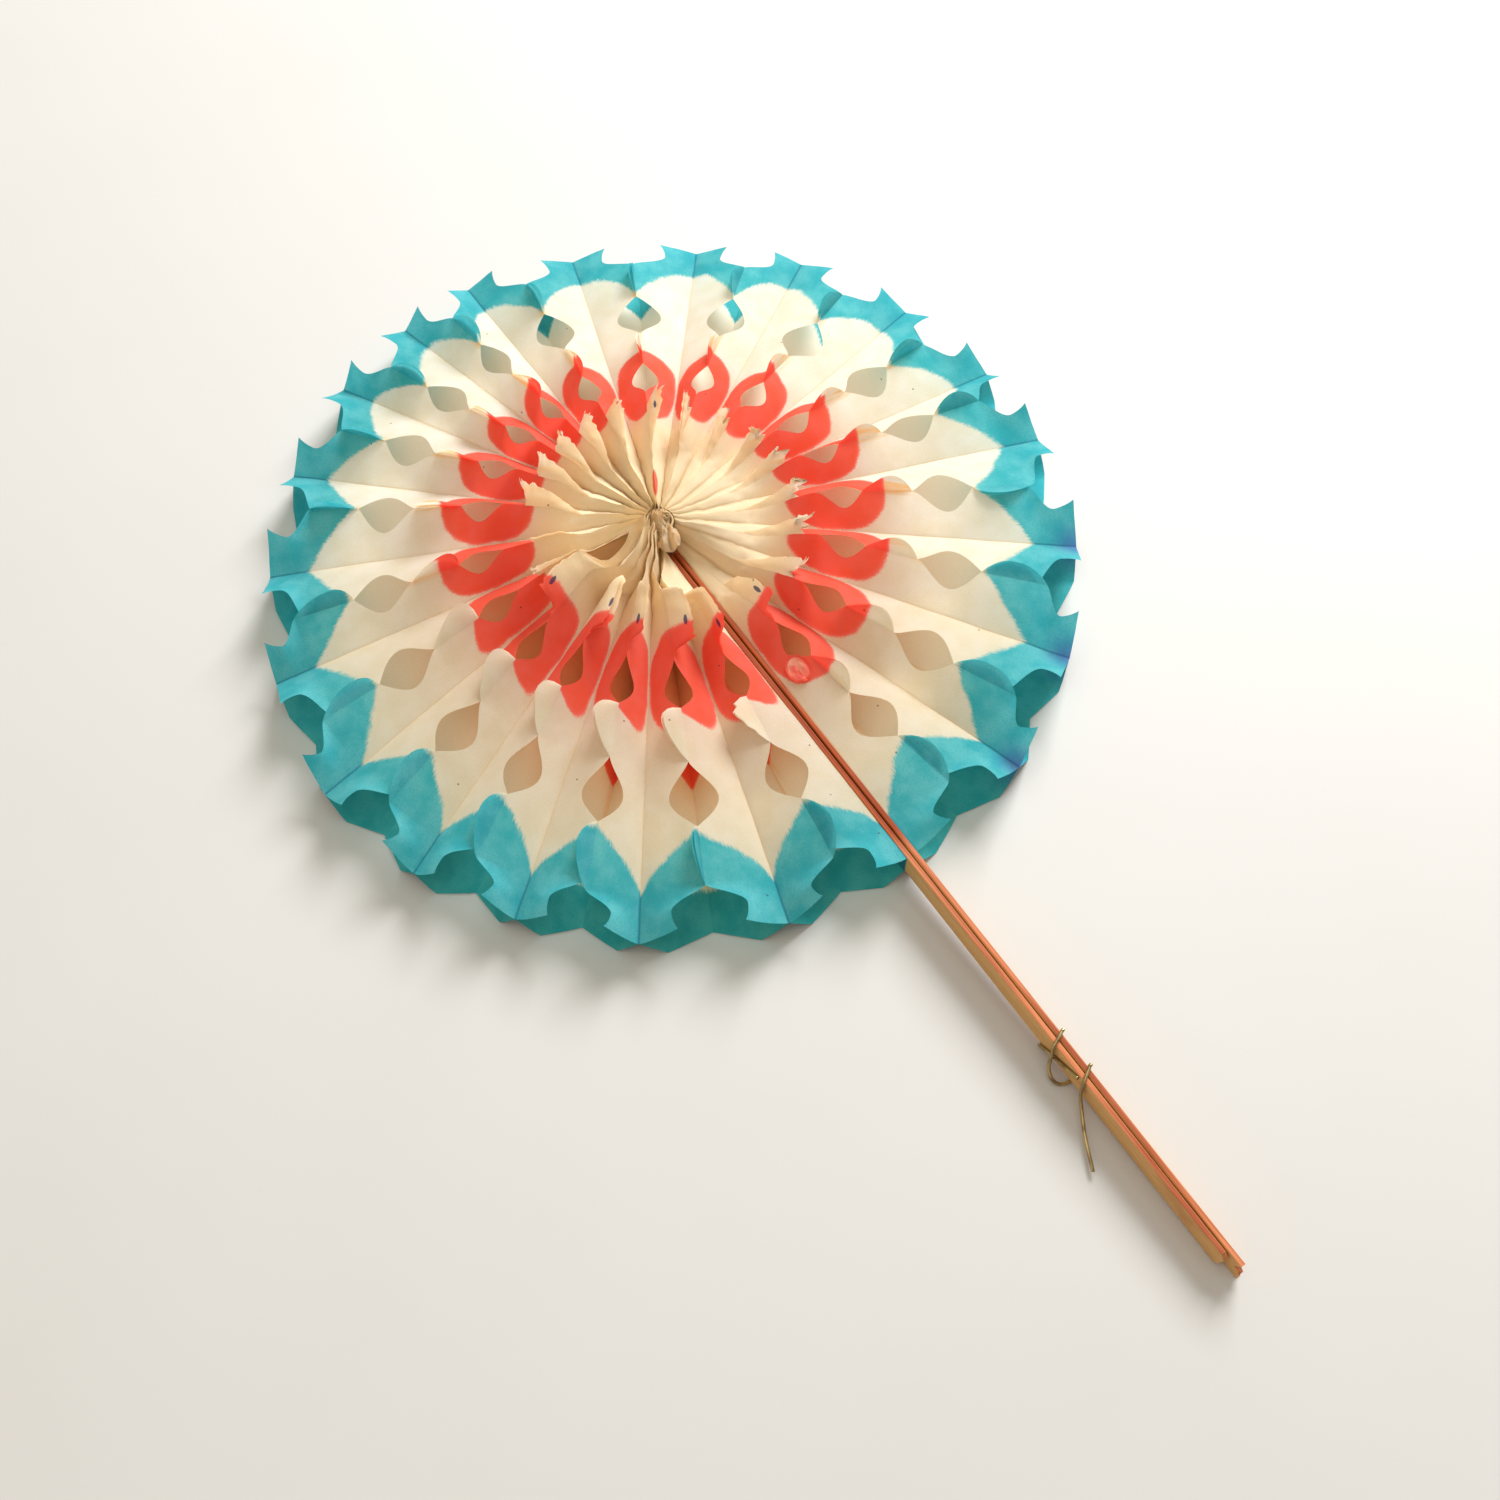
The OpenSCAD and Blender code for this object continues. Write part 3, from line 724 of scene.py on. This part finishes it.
def scrap():
    """A wrinkled oval scrap, darker at its rim."""
    grid = []
    for k in range(SCRAP_STEPS + 1):
        turn = 2 * math.pi * k / SCRAP_STEPS
        column = []
        for j in range(SCRAP_RINGS + 1):
            part = j / SCRAP_RINGS
            r = SCRAP_RADIUS + SCRAP_LENGTH * part * math.cos(turn)
            low = valley_point(0, r, 1)
            high = ridge_point(0, r)
            width = (high - low).length
            across = SCRAP_SHARE * width + SCRAP_WIDTH * part * math.sin(turn)
            point = low + (high - low) * across / width
            wrinkle = noise.noise(Vector((r, across, 0)) * 1.1)
            point.z += SCRAP_LIFT + 0.5 * wrinkle + 0.2 * part ** 3
            fields = panel_fields(0, -1, SCRAP_RADIUS, SCRAP_SHARE, width, 1, 0.5 + wrinkle)
            fields["red_depth"] = SCRAP_RED
            along = SMALL_SHEET[0] * k / SCRAP_STEPS
            mark = (SCRAP_RIM * (1 - part), 0.0, 1.0)
            column.append((point, along, SMALL_SHEET[1] * part, fields, mark))
        grid.append(column)
    return grid


# The cell whose middle flap is torn, and the cells whose inner tab has an ink mark
RAGGED_CELL = 20
INKED_CELLS = (0, 2, 8, 16, 17, 18, 19, 20)
INK_LENGTH = 1.3
INK_WIDTH = 0.6
# Heights of the free scallops: middle ones that lie well over, other middle ones, and outer ones
LONG_MIDDLE = 5.2
SHORT_MIDDLE = 3.6
OUTER_HEIGHT = 4.0
SCALLOP_COLUMNS = 14
# Lean in degrees, against the count of the cells, beyond which a middle flap lies well over
WELL_OVER = -50
FLAP_CURL = 12
SEED = 21


def build_paper():
    """All the sheets of the fan as one object."""
    sheets = Sheets()
    chance = random.Random(SEED)
    for cell in range(CELLS):
        leans = (INNER_LEAN[cell], MIDDLE_LEAN[cell], OUTER_LEAN[cell])
        tab_columns = tab(cell, chance)
        middle_height = LONG_MIDDLE if leans[1] < WELL_OVER else SHORT_MIDDLE
        middle_height *= chance.uniform(0.9, 1.1)
        shoulder = 0.5 if leans[1] < 0 else 1.4
        middle = scallop(INNER_HOLE[1], OUTER_HOLE[0], middle_height, shoulder, SCALLOP_COLUMNS)
        if cell == RAGGED_CELL:
            middle = [(r, height * chance.uniform(0.65, 1.05)) for r, height in middle]
        outer_height = OUTER_HEIGHT * chance.uniform(0.9, 1.1)
        mark_radius = TAB_END[cell] - chance.uniform(1.0, 5.0)
        mark_height = TAB_HEIGHT[cell] * chance.uniform(0.6, 0.9)
        mark = (mark_radius, mark_height, INK_LENGTH, INK_WIDTH)
        splay = chance.uniform(2, 9)
        reach = TORN_REACH[cell]
        rows = [POINTED_REACH[cell] * (j / FLAP_ROWS) ** 2 + chance.uniform(-reach, reach)
                for j in range(FLAP_ROWS + 1)]
        ragged_end = (TAB_END[cell], rows)
        for side in (-1, 1):
            tone = chance.random()
            tile = 2 * cell + (side > 0)
            sheets.add(upper_panel(cell, side, tone), tile, side > 0)
            notch = notch_of(cell, side)
            shoulder = 0.75 if leans[2] < 0 else 1.1
            outer = scallop(OUTER_HOLE[1], notch, outer_height, shoulder, SCALLOP_COLUMNS)
            for columns, lean in zip((tab_columns, middle, outer), leans):
                is_tab = columns is tab_columns
                ragged_tab = is_tab and cell not in SQUARE_TABS
                inked = is_tab and cell in INKED_CELLS and (lean < 0) == (side > 0)
                ink = mark if inked else None
                curl = math.copysign(FLAP_CURL, lean)
                plain = ragged_tab or (columns is middle and lean < WELL_OVER)
                torn = ragged_end if ragged_tab else None
                grid = flap(cell, side, columns, lean, splay, curl, tone, ink, plain, torn)
                sheets.add(grid, tile, side > 0)
            sheets.add(lower_panel(cell, side, chance.random()), 2 * CELLS + tile, side < 0, 1)
    sheets.add(hub(), 4 * CELLS + 2, False)
    sheets.add(scrap(), 4 * CELLS + 3, False)
    sheets.add(glued_strip(0, 0.5), 4 * CELLS, False)
    sheets.add(glued_strip(CELLS, 0.5), 4 * CELLS + 1, True)
    return sheets.build("cut_paper")


# Materials

def colour(red, green, blue):
    """A colour from its display values, 0 to 255."""
    linear = []
    for value in (red, green, blue):
        value /= 255
        linear.append(value / 12.92 if value <= 0.04045 else ((value + 0.055) / 1.055) ** 2.4)
    return (*linear, 1.0)


class Shader:
    """A material's nodes, made one at a time."""

    def __init__(self, name):
        self.material = bpy.data.materials.new(name)
        self.material.use_nodes = True
        self.tree = self.material.node_tree
        self.tree.nodes.clear()
        self.output = self.tree.nodes.new("ShaderNodeOutputMaterial")

    def feed(self, socket, value):
        """Links a socket, or sets its number or colour."""
        if isinstance(value, bpy.types.NodeSocket):
            self.tree.links.new(value, socket)
        else:
            socket.default_value = value

    def node(self, kind, inputs=None, **settings):
        made = self.tree.nodes.new("ShaderNode" + kind)
        for name, value in settings.items():
            setattr(made, name, value)
        for name, value in (inputs or {}).items():
            self.feed(made.inputs[name], value)
        return made

    def math(self, operation, first, second=0.0, third=0.0):
        made = self.node("Math", operation=operation)
        for socket, value in zip(made.inputs, (first, second, third)):
            self.feed(socket, value)
        return made.outputs[0]

    def mix(self, factor, first, second, blend="MIX"):
        made = self.node("Mix", data_type="RGBA", blend_type=blend)
        self.feed(made.inputs[0], factor)
        self.feed(made.inputs[6], first)
        self.feed(made.inputs[7], second)
        return made.outputs[2]

    def times(self, first, second):
        return self.math("MULTIPLY", first, second)

    def tinted(self, body, tint):
        return self.mix(1.0, body, tint, "MULTIPLY")

    def wavering(self, value, waves, amount):
        """A value moved up and down by a noise."""
        return self.math("MULTIPLY_ADD", self.math("SUBTRACT", waves, 0.5), amount, value)

    def smooth(self, value, low, high):
        """0 below low, 1 above high, and a soft step between."""
        made = self.node("MapRange", interpolation_type="SMOOTHSTEP")
        for socket, number in zip(made.inputs, (value, low, high, 0.0, 1.0)):
            self.feed(socket, number)
        return made.outputs[0]

    def value(self, name):
        return self.node("Attribute", attribute_name=name).outputs["Fac"]

    def vector(self, name):
        return self.node("Attribute", attribute_name=name).outputs["Vector"]

    def scaled(self, vector, scale):
        made = self.node("Mapping", {"Vector": vector, "Scale": scale})
        return made.outputs[0]

    def noise(self, vector, scale, detail=3.0, roughness=0.55, distortion=0.0):
        made = self.node("TexNoise", {
            "Vector": vector, "Scale": scale, "Detail": detail, "Roughness": roughness,
            "Distortion": distortion})
        return made.outputs["Fac"]

    def bump(self, height, strength, distance):
        made = self.node("Bump", {"Height": height, "Strength": strength, "Distance": distance})
        return made.outputs["Normal"]

    def principled(self, inputs):
        return self.node("BsdfPrincipled", inputs)

    def finish(self, shader):
        self.tree.links.new(shader, self.output.inputs["Surface"])
        return self.material


def paper_material(name, see_through):
    """Cream paper with teal and red dye, stains, ink and specks, and painted light and shade: darker
    valley creases and pleats, a toned-down near side, and lower sheets that are whiter in cream, darker
    in teal and browner. Light goes through a share of it.
    """
    s = Shader(name)
    sheet = s.node("UVMap", uv_map="sheet").outputs[0]
    fibres = s.noise(s.scaled(sheet, (0.3, 1.3, 1.0)), 2.0, 4.0, 0.6)
    fine = s.noise(sheet, 2.4, 3.0, 0.6)
    clouds = s.noise(sheet, 0.16, 3.0, 0.5)
    lower = s.value("lower")
    from_valley = s.value("from_valley")

    cream = s.mix(s.smooth(clouds, 0.3, 0.7), colour(252, 249, 238), colour(247, 241, 222))
    # Painted shade: on the near side, where the stain share is low, the upper sheets' cream is toned down
    near = s.math("SUBTRACT", 1.0, s.value("stain_and_shade"))
    cream = s.mix(near, cream, s.tinted(cream, colour(246, 241, 231)))
    # Painted light: the lower sheets' cream is whiter, to brighten their shaded insides
    cream = s.mix(lower, cream, colour(253, 247, 234))
    streak = s.smooth(s.noise(s.scaled(sheet, (0.05, 0.4, 1.0)), 1.0, 2.0), 0.42, 0.6)
    at_ridge = s.smooth(s.value("from_ridge"), 1.8, 0.0)
    warm = s.times(s.value("stain_and_shade"), 0.8)
    stain = s.times(s.times(streak, at_ridge), warm)
    cream = s.mix(stain, cream, colour(252, 206, 134))
    radius = s.node("SeparateXYZ", {0: sheet}).outputs["X"]
    centre = s.smooth(s.math("MULTIPLY_ADD", clouds, 9.0, radius), 19.0, 8.0)
    cream = s.mix(s.times(centre, 0.35), cream, colour(254, 240, 190))
    inner = s.times(s.smooth(radius, 40.0, 26.0), s.math("SUBTRACT", 1.0, lower))
    cream = s.mix(s.times(inner, 0.85), cream, colour(253, 230, 188))
    green = s.smooth(s.noise(s.scaled(sheet, (0.12, 0.6, 1.0)), 1.0, 2.0), 0.5, 0.65)
    green = s.times(s.times(green, s.smooth(radius, 15.0, 9.0)), 0.35)
    cream = s.mix(green, cream, colour(208, 214, 164))
    # Painted shade along the valley creases, in the cream here and in the teal below
    crease_shade = s.smooth(from_valley, 0.45, 0.05)
    cream = s.mix(s.times(crease_shade, 0.3), cream, colour(232, 204, 156))
    # Painted shade in the deep pleats near the centre, darkest at the valleys
    pleat = s.times(s.smooth(from_valley, 0.9, 0.1), s.smooth(radius, 26.0, 12.0))
    cream = s.mix(s.times(pleat, 0.45), cream, colour(204, 166, 108))
    mottle = s.times(s.smooth(fine, 0.4, 0.7), 0.5)
    cream = s.mix(mottle, cream, s.tinted(cream, colour(248, 242, 230)))

    feather = s.wavering(s.value("teal_depth"), fibres, 2.8)
    feather = s.wavering(feather, clouds, 3.0)
    teal_mask = s.smooth(feather, -0.8, 0.9)
    teal = s.mix(s.smooth(clouds, 0.3, 0.7), colour(68, 188, 197), colour(110, 207, 212))
    teal = s.mix(s.times(s.smooth(fine, 0.4, 0.75), 0.35), teal, colour(38, 156, 164))
    # Painted shade in the teal along the valley creases
    teal = s.mix(s.times(crease_shade, 0.5), teal, colour(10, 104, 140))
    teal = s.mix(s.times(s.value("violet"), 0.6), teal, colour(96, 84, 178))
    # Painted shade: the lower sheets' teal is darker
    teal = s.mix(lower, teal, s.tinted(teal, colour(184, 230, 234)))
    body = s.mix(teal_mask, cream, teal)

    soft = s.wavering(s.value("red_depth"), fine, 0.9)
    soft = s.wavering(soft, clouds, 2.0)
    red_mask = s.smooth(soft, -0.45, 0.45)
    red = s.mix(s.smooth(soft, 0.0, 1.2), colour(255, 126, 108), colour(255, 106, 80))
    red = s.mix(s.times(s.smooth(clouds, 0.35, 0.65), 0.45), red, colour(255, 124, 110))
    body = s.mix(red_mask, body, red)

    mark = s.vector("ink_place")
    flat_mark = s.node("VectorMath", {0: mark, 1: (1.0, 1.0, 0.0)}, operation="MULTIPLY").outputs[0]
    ink_place = s.node("VectorMath", {0: flat_mark}, operation="LENGTH").outputs["Value"]
    ink = s.wavering(ink_place, fine, 0.5)
    ink_mask = s.times(s.smooth(ink, 1.0, 0.75), 0.85)
    slit = s.node("SeparateXYZ", {0: mark}).outputs["Z"]
    body = s.mix(ink_mask, body, s.mix(slit, colour(52, 60, 104), colour(240, 84, 62)))

    dots = s.node("TexVoronoi", {"Vector": sheet, "Scale": 0.075}, voronoi_dimensions="2D")
    chosen = s.smooth(s.node("SeparateColor", {0: dots.outputs["Color"]}).outputs[0], 0.86, 0.88)
    speck = s.times(s.smooth(dots.outputs["Distance"], 0.02, 0.012), chosen)
    body = s.mix(s.times(speck, 0.75), body, colour(84, 64, 48))

    shade = s.mix(s.value("tone"), (1.0, 1.0, 1.0, 1.0), (0.95, 0.94, 0.92, 1.0))
    body = s.tinted(body, shade)
    # Painted shade: the lower sheets on the far side are darker
    body = s.mix(s.value("dim"), body, s.tinted(body, colour(244, 244, 242)))
    # Painted shade that browns the lower sheets, most near the centre on the near side; on the hub a tan
    # tone
    brown = s.tinted(body, colour(248, 214, 172))
    body = s.mix(s.times(lower, s.value("stain_and_shade")), body, brown)

    height = s.math("MULTIPLY_ADD", fibres, 0.5, fine)
    bump = s.bump(height, 0.12, 0.0002)
    face = s.principled({
        "Base Color": body, "Roughness": 0.82, "Specular IOR Level": 0.2, "Normal": bump})
    through = s.node("BsdfTranslucent", {"Color": body, "Normal": bump})
    dense = s.math("MULTIPLY_ADD", inner, -0.35, 1.0)
    both = s.node("MixShader", {
        0: s.times(dense, see_through), 1: face.outputs[0], 2: through.outputs[0]})
    return s.finish(both.outputs[0])


WOOD_BLEND = 8.0


def wood_material():
    """Stained wood: paler faces and redder edges, partly a stain on the edges and partly painted light on
    the faces, and a browner part inside the paper.
    """
    s = Shader("stained_wood")
    place = s.node("TexCoord").outputs["Object"]
    grain = s.noise(s.scaled(place, (18.0, 900.0, 700.0)), 1.0, 4.0, 0.6, 0.4)
    streak = s.noise(s.scaled(place, (60.0, 2600.0, 2200.0)), 1.0, 3.0, 0.6)
    patches = s.noise(s.scaled(place, (60.0, 200.0, 200.0)), 1.0, 3.0)
    face = s.mix(grain, colour(196, 140, 76), colour(240, 192, 124))
    face = s.mix(s.times(s.smooth(streak, 0.55, 0.75), 0.5), face, colour(136, 84, 42))
    edge = s.mix(s.smooth(grain, 0.3, 0.7), colour(156, 74, 42), colour(220, 136, 88))
    # Edges that face up or down take the redder colour: partly their stain, partly painted light that
    # lifts the sideways faces out of the key light's shade
    normal = s.node("NewGeometry").outputs["Normal"]
    upward = s.node("SeparateXYZ", {0: normal}).outputs["Z"]
    body = s.mix(s.smooth(s.math("ABSOLUTE", upward), 0.5, 0.8), face, edge)
    body = s.mix(s.times(s.smooth(patches, 0.55, 0.75), 0.4), body, colour(172, 84, 48))
    along = s.node("SeparateXYZ", {0: place}).outputs["X"]
    inside = s.smooth(along, AXIS.x + RIM * MM, AXIS.x + (RIM - WOOD_BLEND) * MM)
    body = s.mix(inside, body, s.tinted(body, colour(206, 156, 88)))
    rough = s.math("MULTIPLY_ADD", streak, 0.2, 0.45)
    bump = s.bump(s.math("ADD", grain, streak), 0.25, 0.0002)
    shader = s.principled({
        "Base Color": body, "Roughness": rough, "Specular IOR Level": 0.25, "Normal": bump})
    return s.finish(shader.outputs[0])


def wire_material():
    s = Shader("aged_brass_wire")
    place = s.node("TexCoord").outputs["Object"]
    tarnish = s.noise(place, 260.0, 4.0, 0.6)
    body = s.mix(s.smooth(tarnish, 0.3, 0.7), colour(206, 184, 126), colour(138, 114, 78))
    rough = s.math("MULTIPLY_ADD", tarnish, 0.3, 0.2)
    bump = s.bump(tarnish, 0.2, 0.0001)
    shader = s.principled({"Base Color": body, "Metallic": 0.9, "Roughness": rough, "Normal": bump})
    return s.finish(shader.outputs[0])


def thread_material():
    s = Shader("tan_thread")
    place = s.node("TexCoord").outputs["Object"]
    twist = s.noise(place, 2500.0, 3.0, 0.6)
    clouds = s.noise(place, 400.0, 3.0)
    body = s.mix(twist, colour(150, 112, 70), colour(222, 194, 150))
    body = s.mix(s.times(clouds, 0.4), body, colour(190, 170, 110))
    bump = s.bump(twist, 0.5, 0.0002)
    shader = s.principled({"Base Color": body, "Roughness": 0.85, "Normal": bump})
    return s.finish(shader.outputs[0])


def floor_material():
    s = Shader("pale_table")
    place = s.node("TexCoord").outputs["Object"]
    mottle = s.noise(place, 9.0, 4.0)
    body = s.mix(mottle, colour(208, 205, 199), colour(202, 198, 191))
    shader = s.principled({"Base Color": body, "Roughness": 0.6, "Specular IOR Level": 0.3})
    return s.finish(shader.outputs[0])


# Wire and thread

def smooth_route(points, steps):
    """A smooth curve through all the points."""
    route = []
    count = len(points)
    for i in range(count - 1):
        before = points[max(i - 1, 0)]
        start = points[i]
        end = points[i + 1]
        after = points[min(i + 2, count - 1)]
        for k in range(steps):
            t = k / steps
            route.append(0.5 * (2 * start + (end - before) * t
                                + (2 * before - 5 * start + 4 * end - after) * t * t
                                + (3 * start - before - 3 * end + after) * t ** 3))
    route.append(points[-1])
    return route


def tube(name, route, radius, sides):
    """A round tube of quads along a route, in millimetres."""
    points = []
    faces = []
    across = Vector((0, 0, 1))
    count = len(route)
    for i in range(count):
        ahead = route[min(i + 1, count - 1)]
        behind = route[max(i - 1, 0)]
        along = (ahead - behind).normalized()
        across = (across - along * across.dot(along)).normalized()
        beside = along.cross(across)
        for k in range(sides):
            turn = 2 * math.pi * k / sides
            points.append(route[i] + (across * math.cos(turn) + beside * math.sin(turn)) * radius)
    for i in range(count - 1):
        ring = i * sides
        following = ring + sides
        for k in range(sides):
            beyond = (k + 1) % sides
            faces.append((ring + k, ring + beyond, following + beyond, following + k))
    faces.append(tuple(reversed(range(sides))))
    faces.append(tuple(range((count - 1) * sides, count * sides)))
    mesh = bpy.data.meshes.new(name)
    mesh.from_pydata([(p + AXIS_MM) * MM for p in points], [], faces)
    mesh.polygons.foreach_set("use_smooth", [True] * len(mesh.polygons))
    mesh.update()
    return linked(name, mesh)


# Route of the wire in the sticks' own frame: steps along from where it is tied, then across and up
WIRE_RADIUS = 0.4
WIRE_SIDES = 10
ROUTE_STEPS = 5
TOUCH = 0.05
TIE = 149.0
STEP = 0.9
SLACK = 0.8
BEND = 0.48
HALF_STICK = STICK_HEIGHT / 2
FRONT = -STICK_FACE - WIRE_RADIUS - TOUCH
BACK = -FRONT
OVER = HALF_STICK + WIRE_RADIUS + TOUCH
UNDER = -OVER
WIRE_ROUTE = [
    (10.8, FRONT, 0.85 * HALF_STICK),
    (8.9, FRONT, 0.55 * HALF_STICK),
    (4.4, FRONT, -0.1 * HALF_STICK),
    (0.6, FRONT, -0.7 * HALF_STICK),
    (-0.8, FRONT, UNDER + BEND),
    (-0.9, FRONT + BEND, UNDER),
    (-0.6, BACK - BEND, UNDER),
    (-0.3, BACK, UNDER + BEND),
    (0.2, BACK, OVER - BEND),
    (0.4, BACK - BEND, OVER),
    (1.7, FRONT + BEND, OVER),
    (2.0, FRONT - 0.25 * SLACK, OVER - BEND),
    (2.8, FRONT - 0.5 * SLACK, 0.3 * HALF_STICK),
    (3.6, FRONT - 1.25 * SLACK, -0.4 * HALF_STICK),
    (4.9, FRONT - 2.5 * SLACK, -0.75 * HALF_STICK),
    (6.9, FRONT - 3.25 * SLACK, -0.9 * HALF_STICK),
    (8.7, FRONT - 2.5 * SLACK, UNDER + 0.25 * SLACK),
    (9.6, FRONT - 0.75 * SLACK, UNDER),
    (9.8, FRONT + BEND, UNDER),
    (10.0, BACK - BEND, UNDER),
    (10.0, BACK, UNDER + BEND),
    (10.2, BACK, OVER - BEND),
    (10.4, BACK - BEND, OVER),
    (12.2, FRONT + BEND, OVER),
    (12.7, FRONT - 0.12 * SLACK, OVER - BEND),
    (13.3, FRONT - 0.25 * SLACK, 0.2 * HALF_STICK),
    (14.4, FRONT - 1.0 * SLACK, -0.4 * HALF_STICK),
    (17.8, FRONT - 3.25 * SLACK, -0.7 * HALF_STICK),
    (22.2, FRONT - 6.25 * SLACK, -0.8 * HALF_STICK),
    (28.9, FRONT - 10.0 * SLACK, -0.85 * HALF_STICK),
]


def on_handle(x, y, z):
    """A point in the sticks' own frame, as a point of the fan."""
    turned = Matrix.Rotation(STICK_SLOPE, 3, "Y") @ Vector((x - RIM, y, z))
    return turned + Vector((RIM, 0, RIM_HEIGHT))


def build_wire():
    points = [on_handle(TIE + along * STEP, y, z) for along, y, z in WIRE_ROUTE]
    return tube("round_tie_wire", smooth_route(points, ROUTE_STEPS), WIRE_RADIUS, WIRE_SIDES)


THREAD_RADIUS = 0.4
DRAWN_SHARE = 0.7
THREAD_SIDES = 8
RING_TURNS = 2
STEPS_PER_TURN = 24
RING_PITCH = 0.68
KNOT_POINTS = 40
KNOT_PER_TURN = 16
KNOT_RISE = 1.6
RING_HEIGHT = RIM_HEIGHT + CONE_RISE * (1 - CORE / RIM)


def build_thread():
    """A ring of thread wound inside the core, that ends in a loose knot on top."""
    route = []
    ring = CORE - THREAD_RADIUS - TOUCH
    for i in range(RING_TURNS * STEPS_PER_TURN + 1):
        turn = 2 * math.pi * i / STEPS_PER_TURN
        rise = RING_PITCH * turn / (2 * math.pi)
        route.append(polar(ring - 0.1 * math.sin(turn * 2.5), turn, RING_HEIGHT + rise * 0.8))
    top = RING_HEIGHT + KNOT_RISE
    for i in range(1, KNOT_POINTS):
        turn = 2 * math.pi * i / KNOT_PER_TURN
        centre = Vector((0.6, 1.6, top + 0.02 * i))
        loop = Vector((math.cos(turn), math.sin(turn * 1.5) * 0.8, math.sin(turn) * 0.6))
        route.append(centre + loop * (0.5 + 0.012 * i))
    return tube("wound_thread", route, THREAD_RADIUS * DRAWN_SHARE, THREAD_SIDES)


# The object's pieces. More light goes through the single upper sheets than through the lower ones.

UPPER_SEE_THROUGH = 0.52
LOWER_SEE_THROUGH = 0.12

paper = build_paper()
paper.data.materials.append(paper_material("dyed_upper_paper", UPPER_SEE_THROUGH))
paper.data.materials.append(paper_material("dyed_lower_paper", LOWER_SEE_THROUGH))
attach(paper, "root")
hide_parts("honeycomb_paper")

wire = build_wire()
wire.data.materials.append(wire_material())
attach(wire, "root")
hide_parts("tie_wire")

thread = build_thread()
thread.data.materials.append(thread_material())
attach(thread, "root")
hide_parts("binding_thread")

wood = wood_material()
for name in ("front_stick", "rear_stick"):
    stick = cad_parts[name]
    stick.data.materials.clear()
    stick.data.materials.append(wood)

# Camera, at the photograph's viewing angle. Its place is given from the cone's apex, with x to the right
# of the picture and y away from the camera.

HANDLE_TURN = math.radians(HANDLE_DIRECTION)
APEX_HEIGHT = 20.109
CAMERA_PLACE = Vector((19.86, -205.97, 298.82))
CAMERA_HEIGHT_ANGLE = math.radians(64.19)
CAMERA_ROLL = math.radians(-1.79)
to_row = Matrix.Rotation(-HANDLE_TURN, 3, "Z")


def from_picture(place):
    """A place seen from the apex in the picture's directions, in millimetres, as a place in metres."""
    return (to_row @ place + Vector((0, 0, APEX_HEIGHT)) + AXIS_MM) * MM


back = Vector((0, -math.cos(CAMERA_HEIGHT_ANGLE), math.sin(CAMERA_HEIGHT_ANGLE)))
right = Vector((1, 0, 0))
upward = Vector((0, math.sin(CAMERA_HEIGHT_ANGLE), math.cos(CAMERA_HEIGHT_ANGLE)))
rolled_right = right * math.cos(CAMERA_ROLL) + upward * math.sin(CAMERA_ROLL)
rolled_up = upward * math.cos(CAMERA_ROLL) - right * math.sin(CAMERA_ROLL)
axes = [to_row @ direction for direction in (rolled_right, rolled_up, back)]
camera_data = bpy.data.cameras.new("camera")
camera_data.lens = 36.0
camera_data.sensor_width = 36.0
camera_data.clip_start = 0.01
camera_data.clip_end = 20.0
camera = linked("camera", camera_data)
camera.matrix_world = Matrix.Translation(from_picture(CAMERA_PLACE)) @ Matrix(axes).transposed().to_4x4()
bpy.context.scene.camera = camera

# Table and light

FLOOR_SIZE = 4.0
LIGHT_AIM = Vector((30, -40, 0))
WORLD_TINT = (1.0, 0.95, 0.88, 1.0)
WORLD_STRENGTH = 0.41
floor_mesh = bpy.data.meshes.new("table")
corner = FLOOR_SIZE / 2
floor_mesh.from_pydata(
    [(-corner, -corner, 0), (corner, -corner, 0), (corner, corner, 0), (-corner, corner, 0)], [],
    [(0, 1, 2, 3)])
floor = linked("table", floor_mesh)
floor.data.materials.append(floor_material())


def area_light(name, place, size, power, tint):
    """A square soft light at a place given in the picture's directions, aimed at the fan."""
    data = bpy.data.lights.new(name, "AREA")
    data.shape = "SQUARE"
    data.size = size
    data.energy = power
    data.color = tint
    light = linked(name, data)
    light.location = from_picture(place)
    aim = from_picture(LIGHT_AIM) - light.location
    light.rotation_mode = "QUATERNION"
    light.rotation_quaternion = aim.to_track_quat("-Z", "Y")


area_light("key", Vector((430, 690, 620)), 0.5, 17.4, (0.955, 0.985, 1.04))
area_light("overhead", Vector((0, 0, 1300)), 1.2, 3.6, (1.0, 0.95, 0.85))
area_light("fill", Vector((-600, -300, 900)), 1.0, 1.5, (1.0, 0.9, 0.76))

world = bpy.data.worlds.new("studio")
world.use_nodes = True
background = world.node_tree.nodes["Background"]
background.inputs["Color"].default_value = WORLD_TINT
background.inputs["Strength"].default_value = WORLD_STRENGTH
bpy.context.scene.world = world
bpy.context.scene.view_settings.view_transform = "Standard"
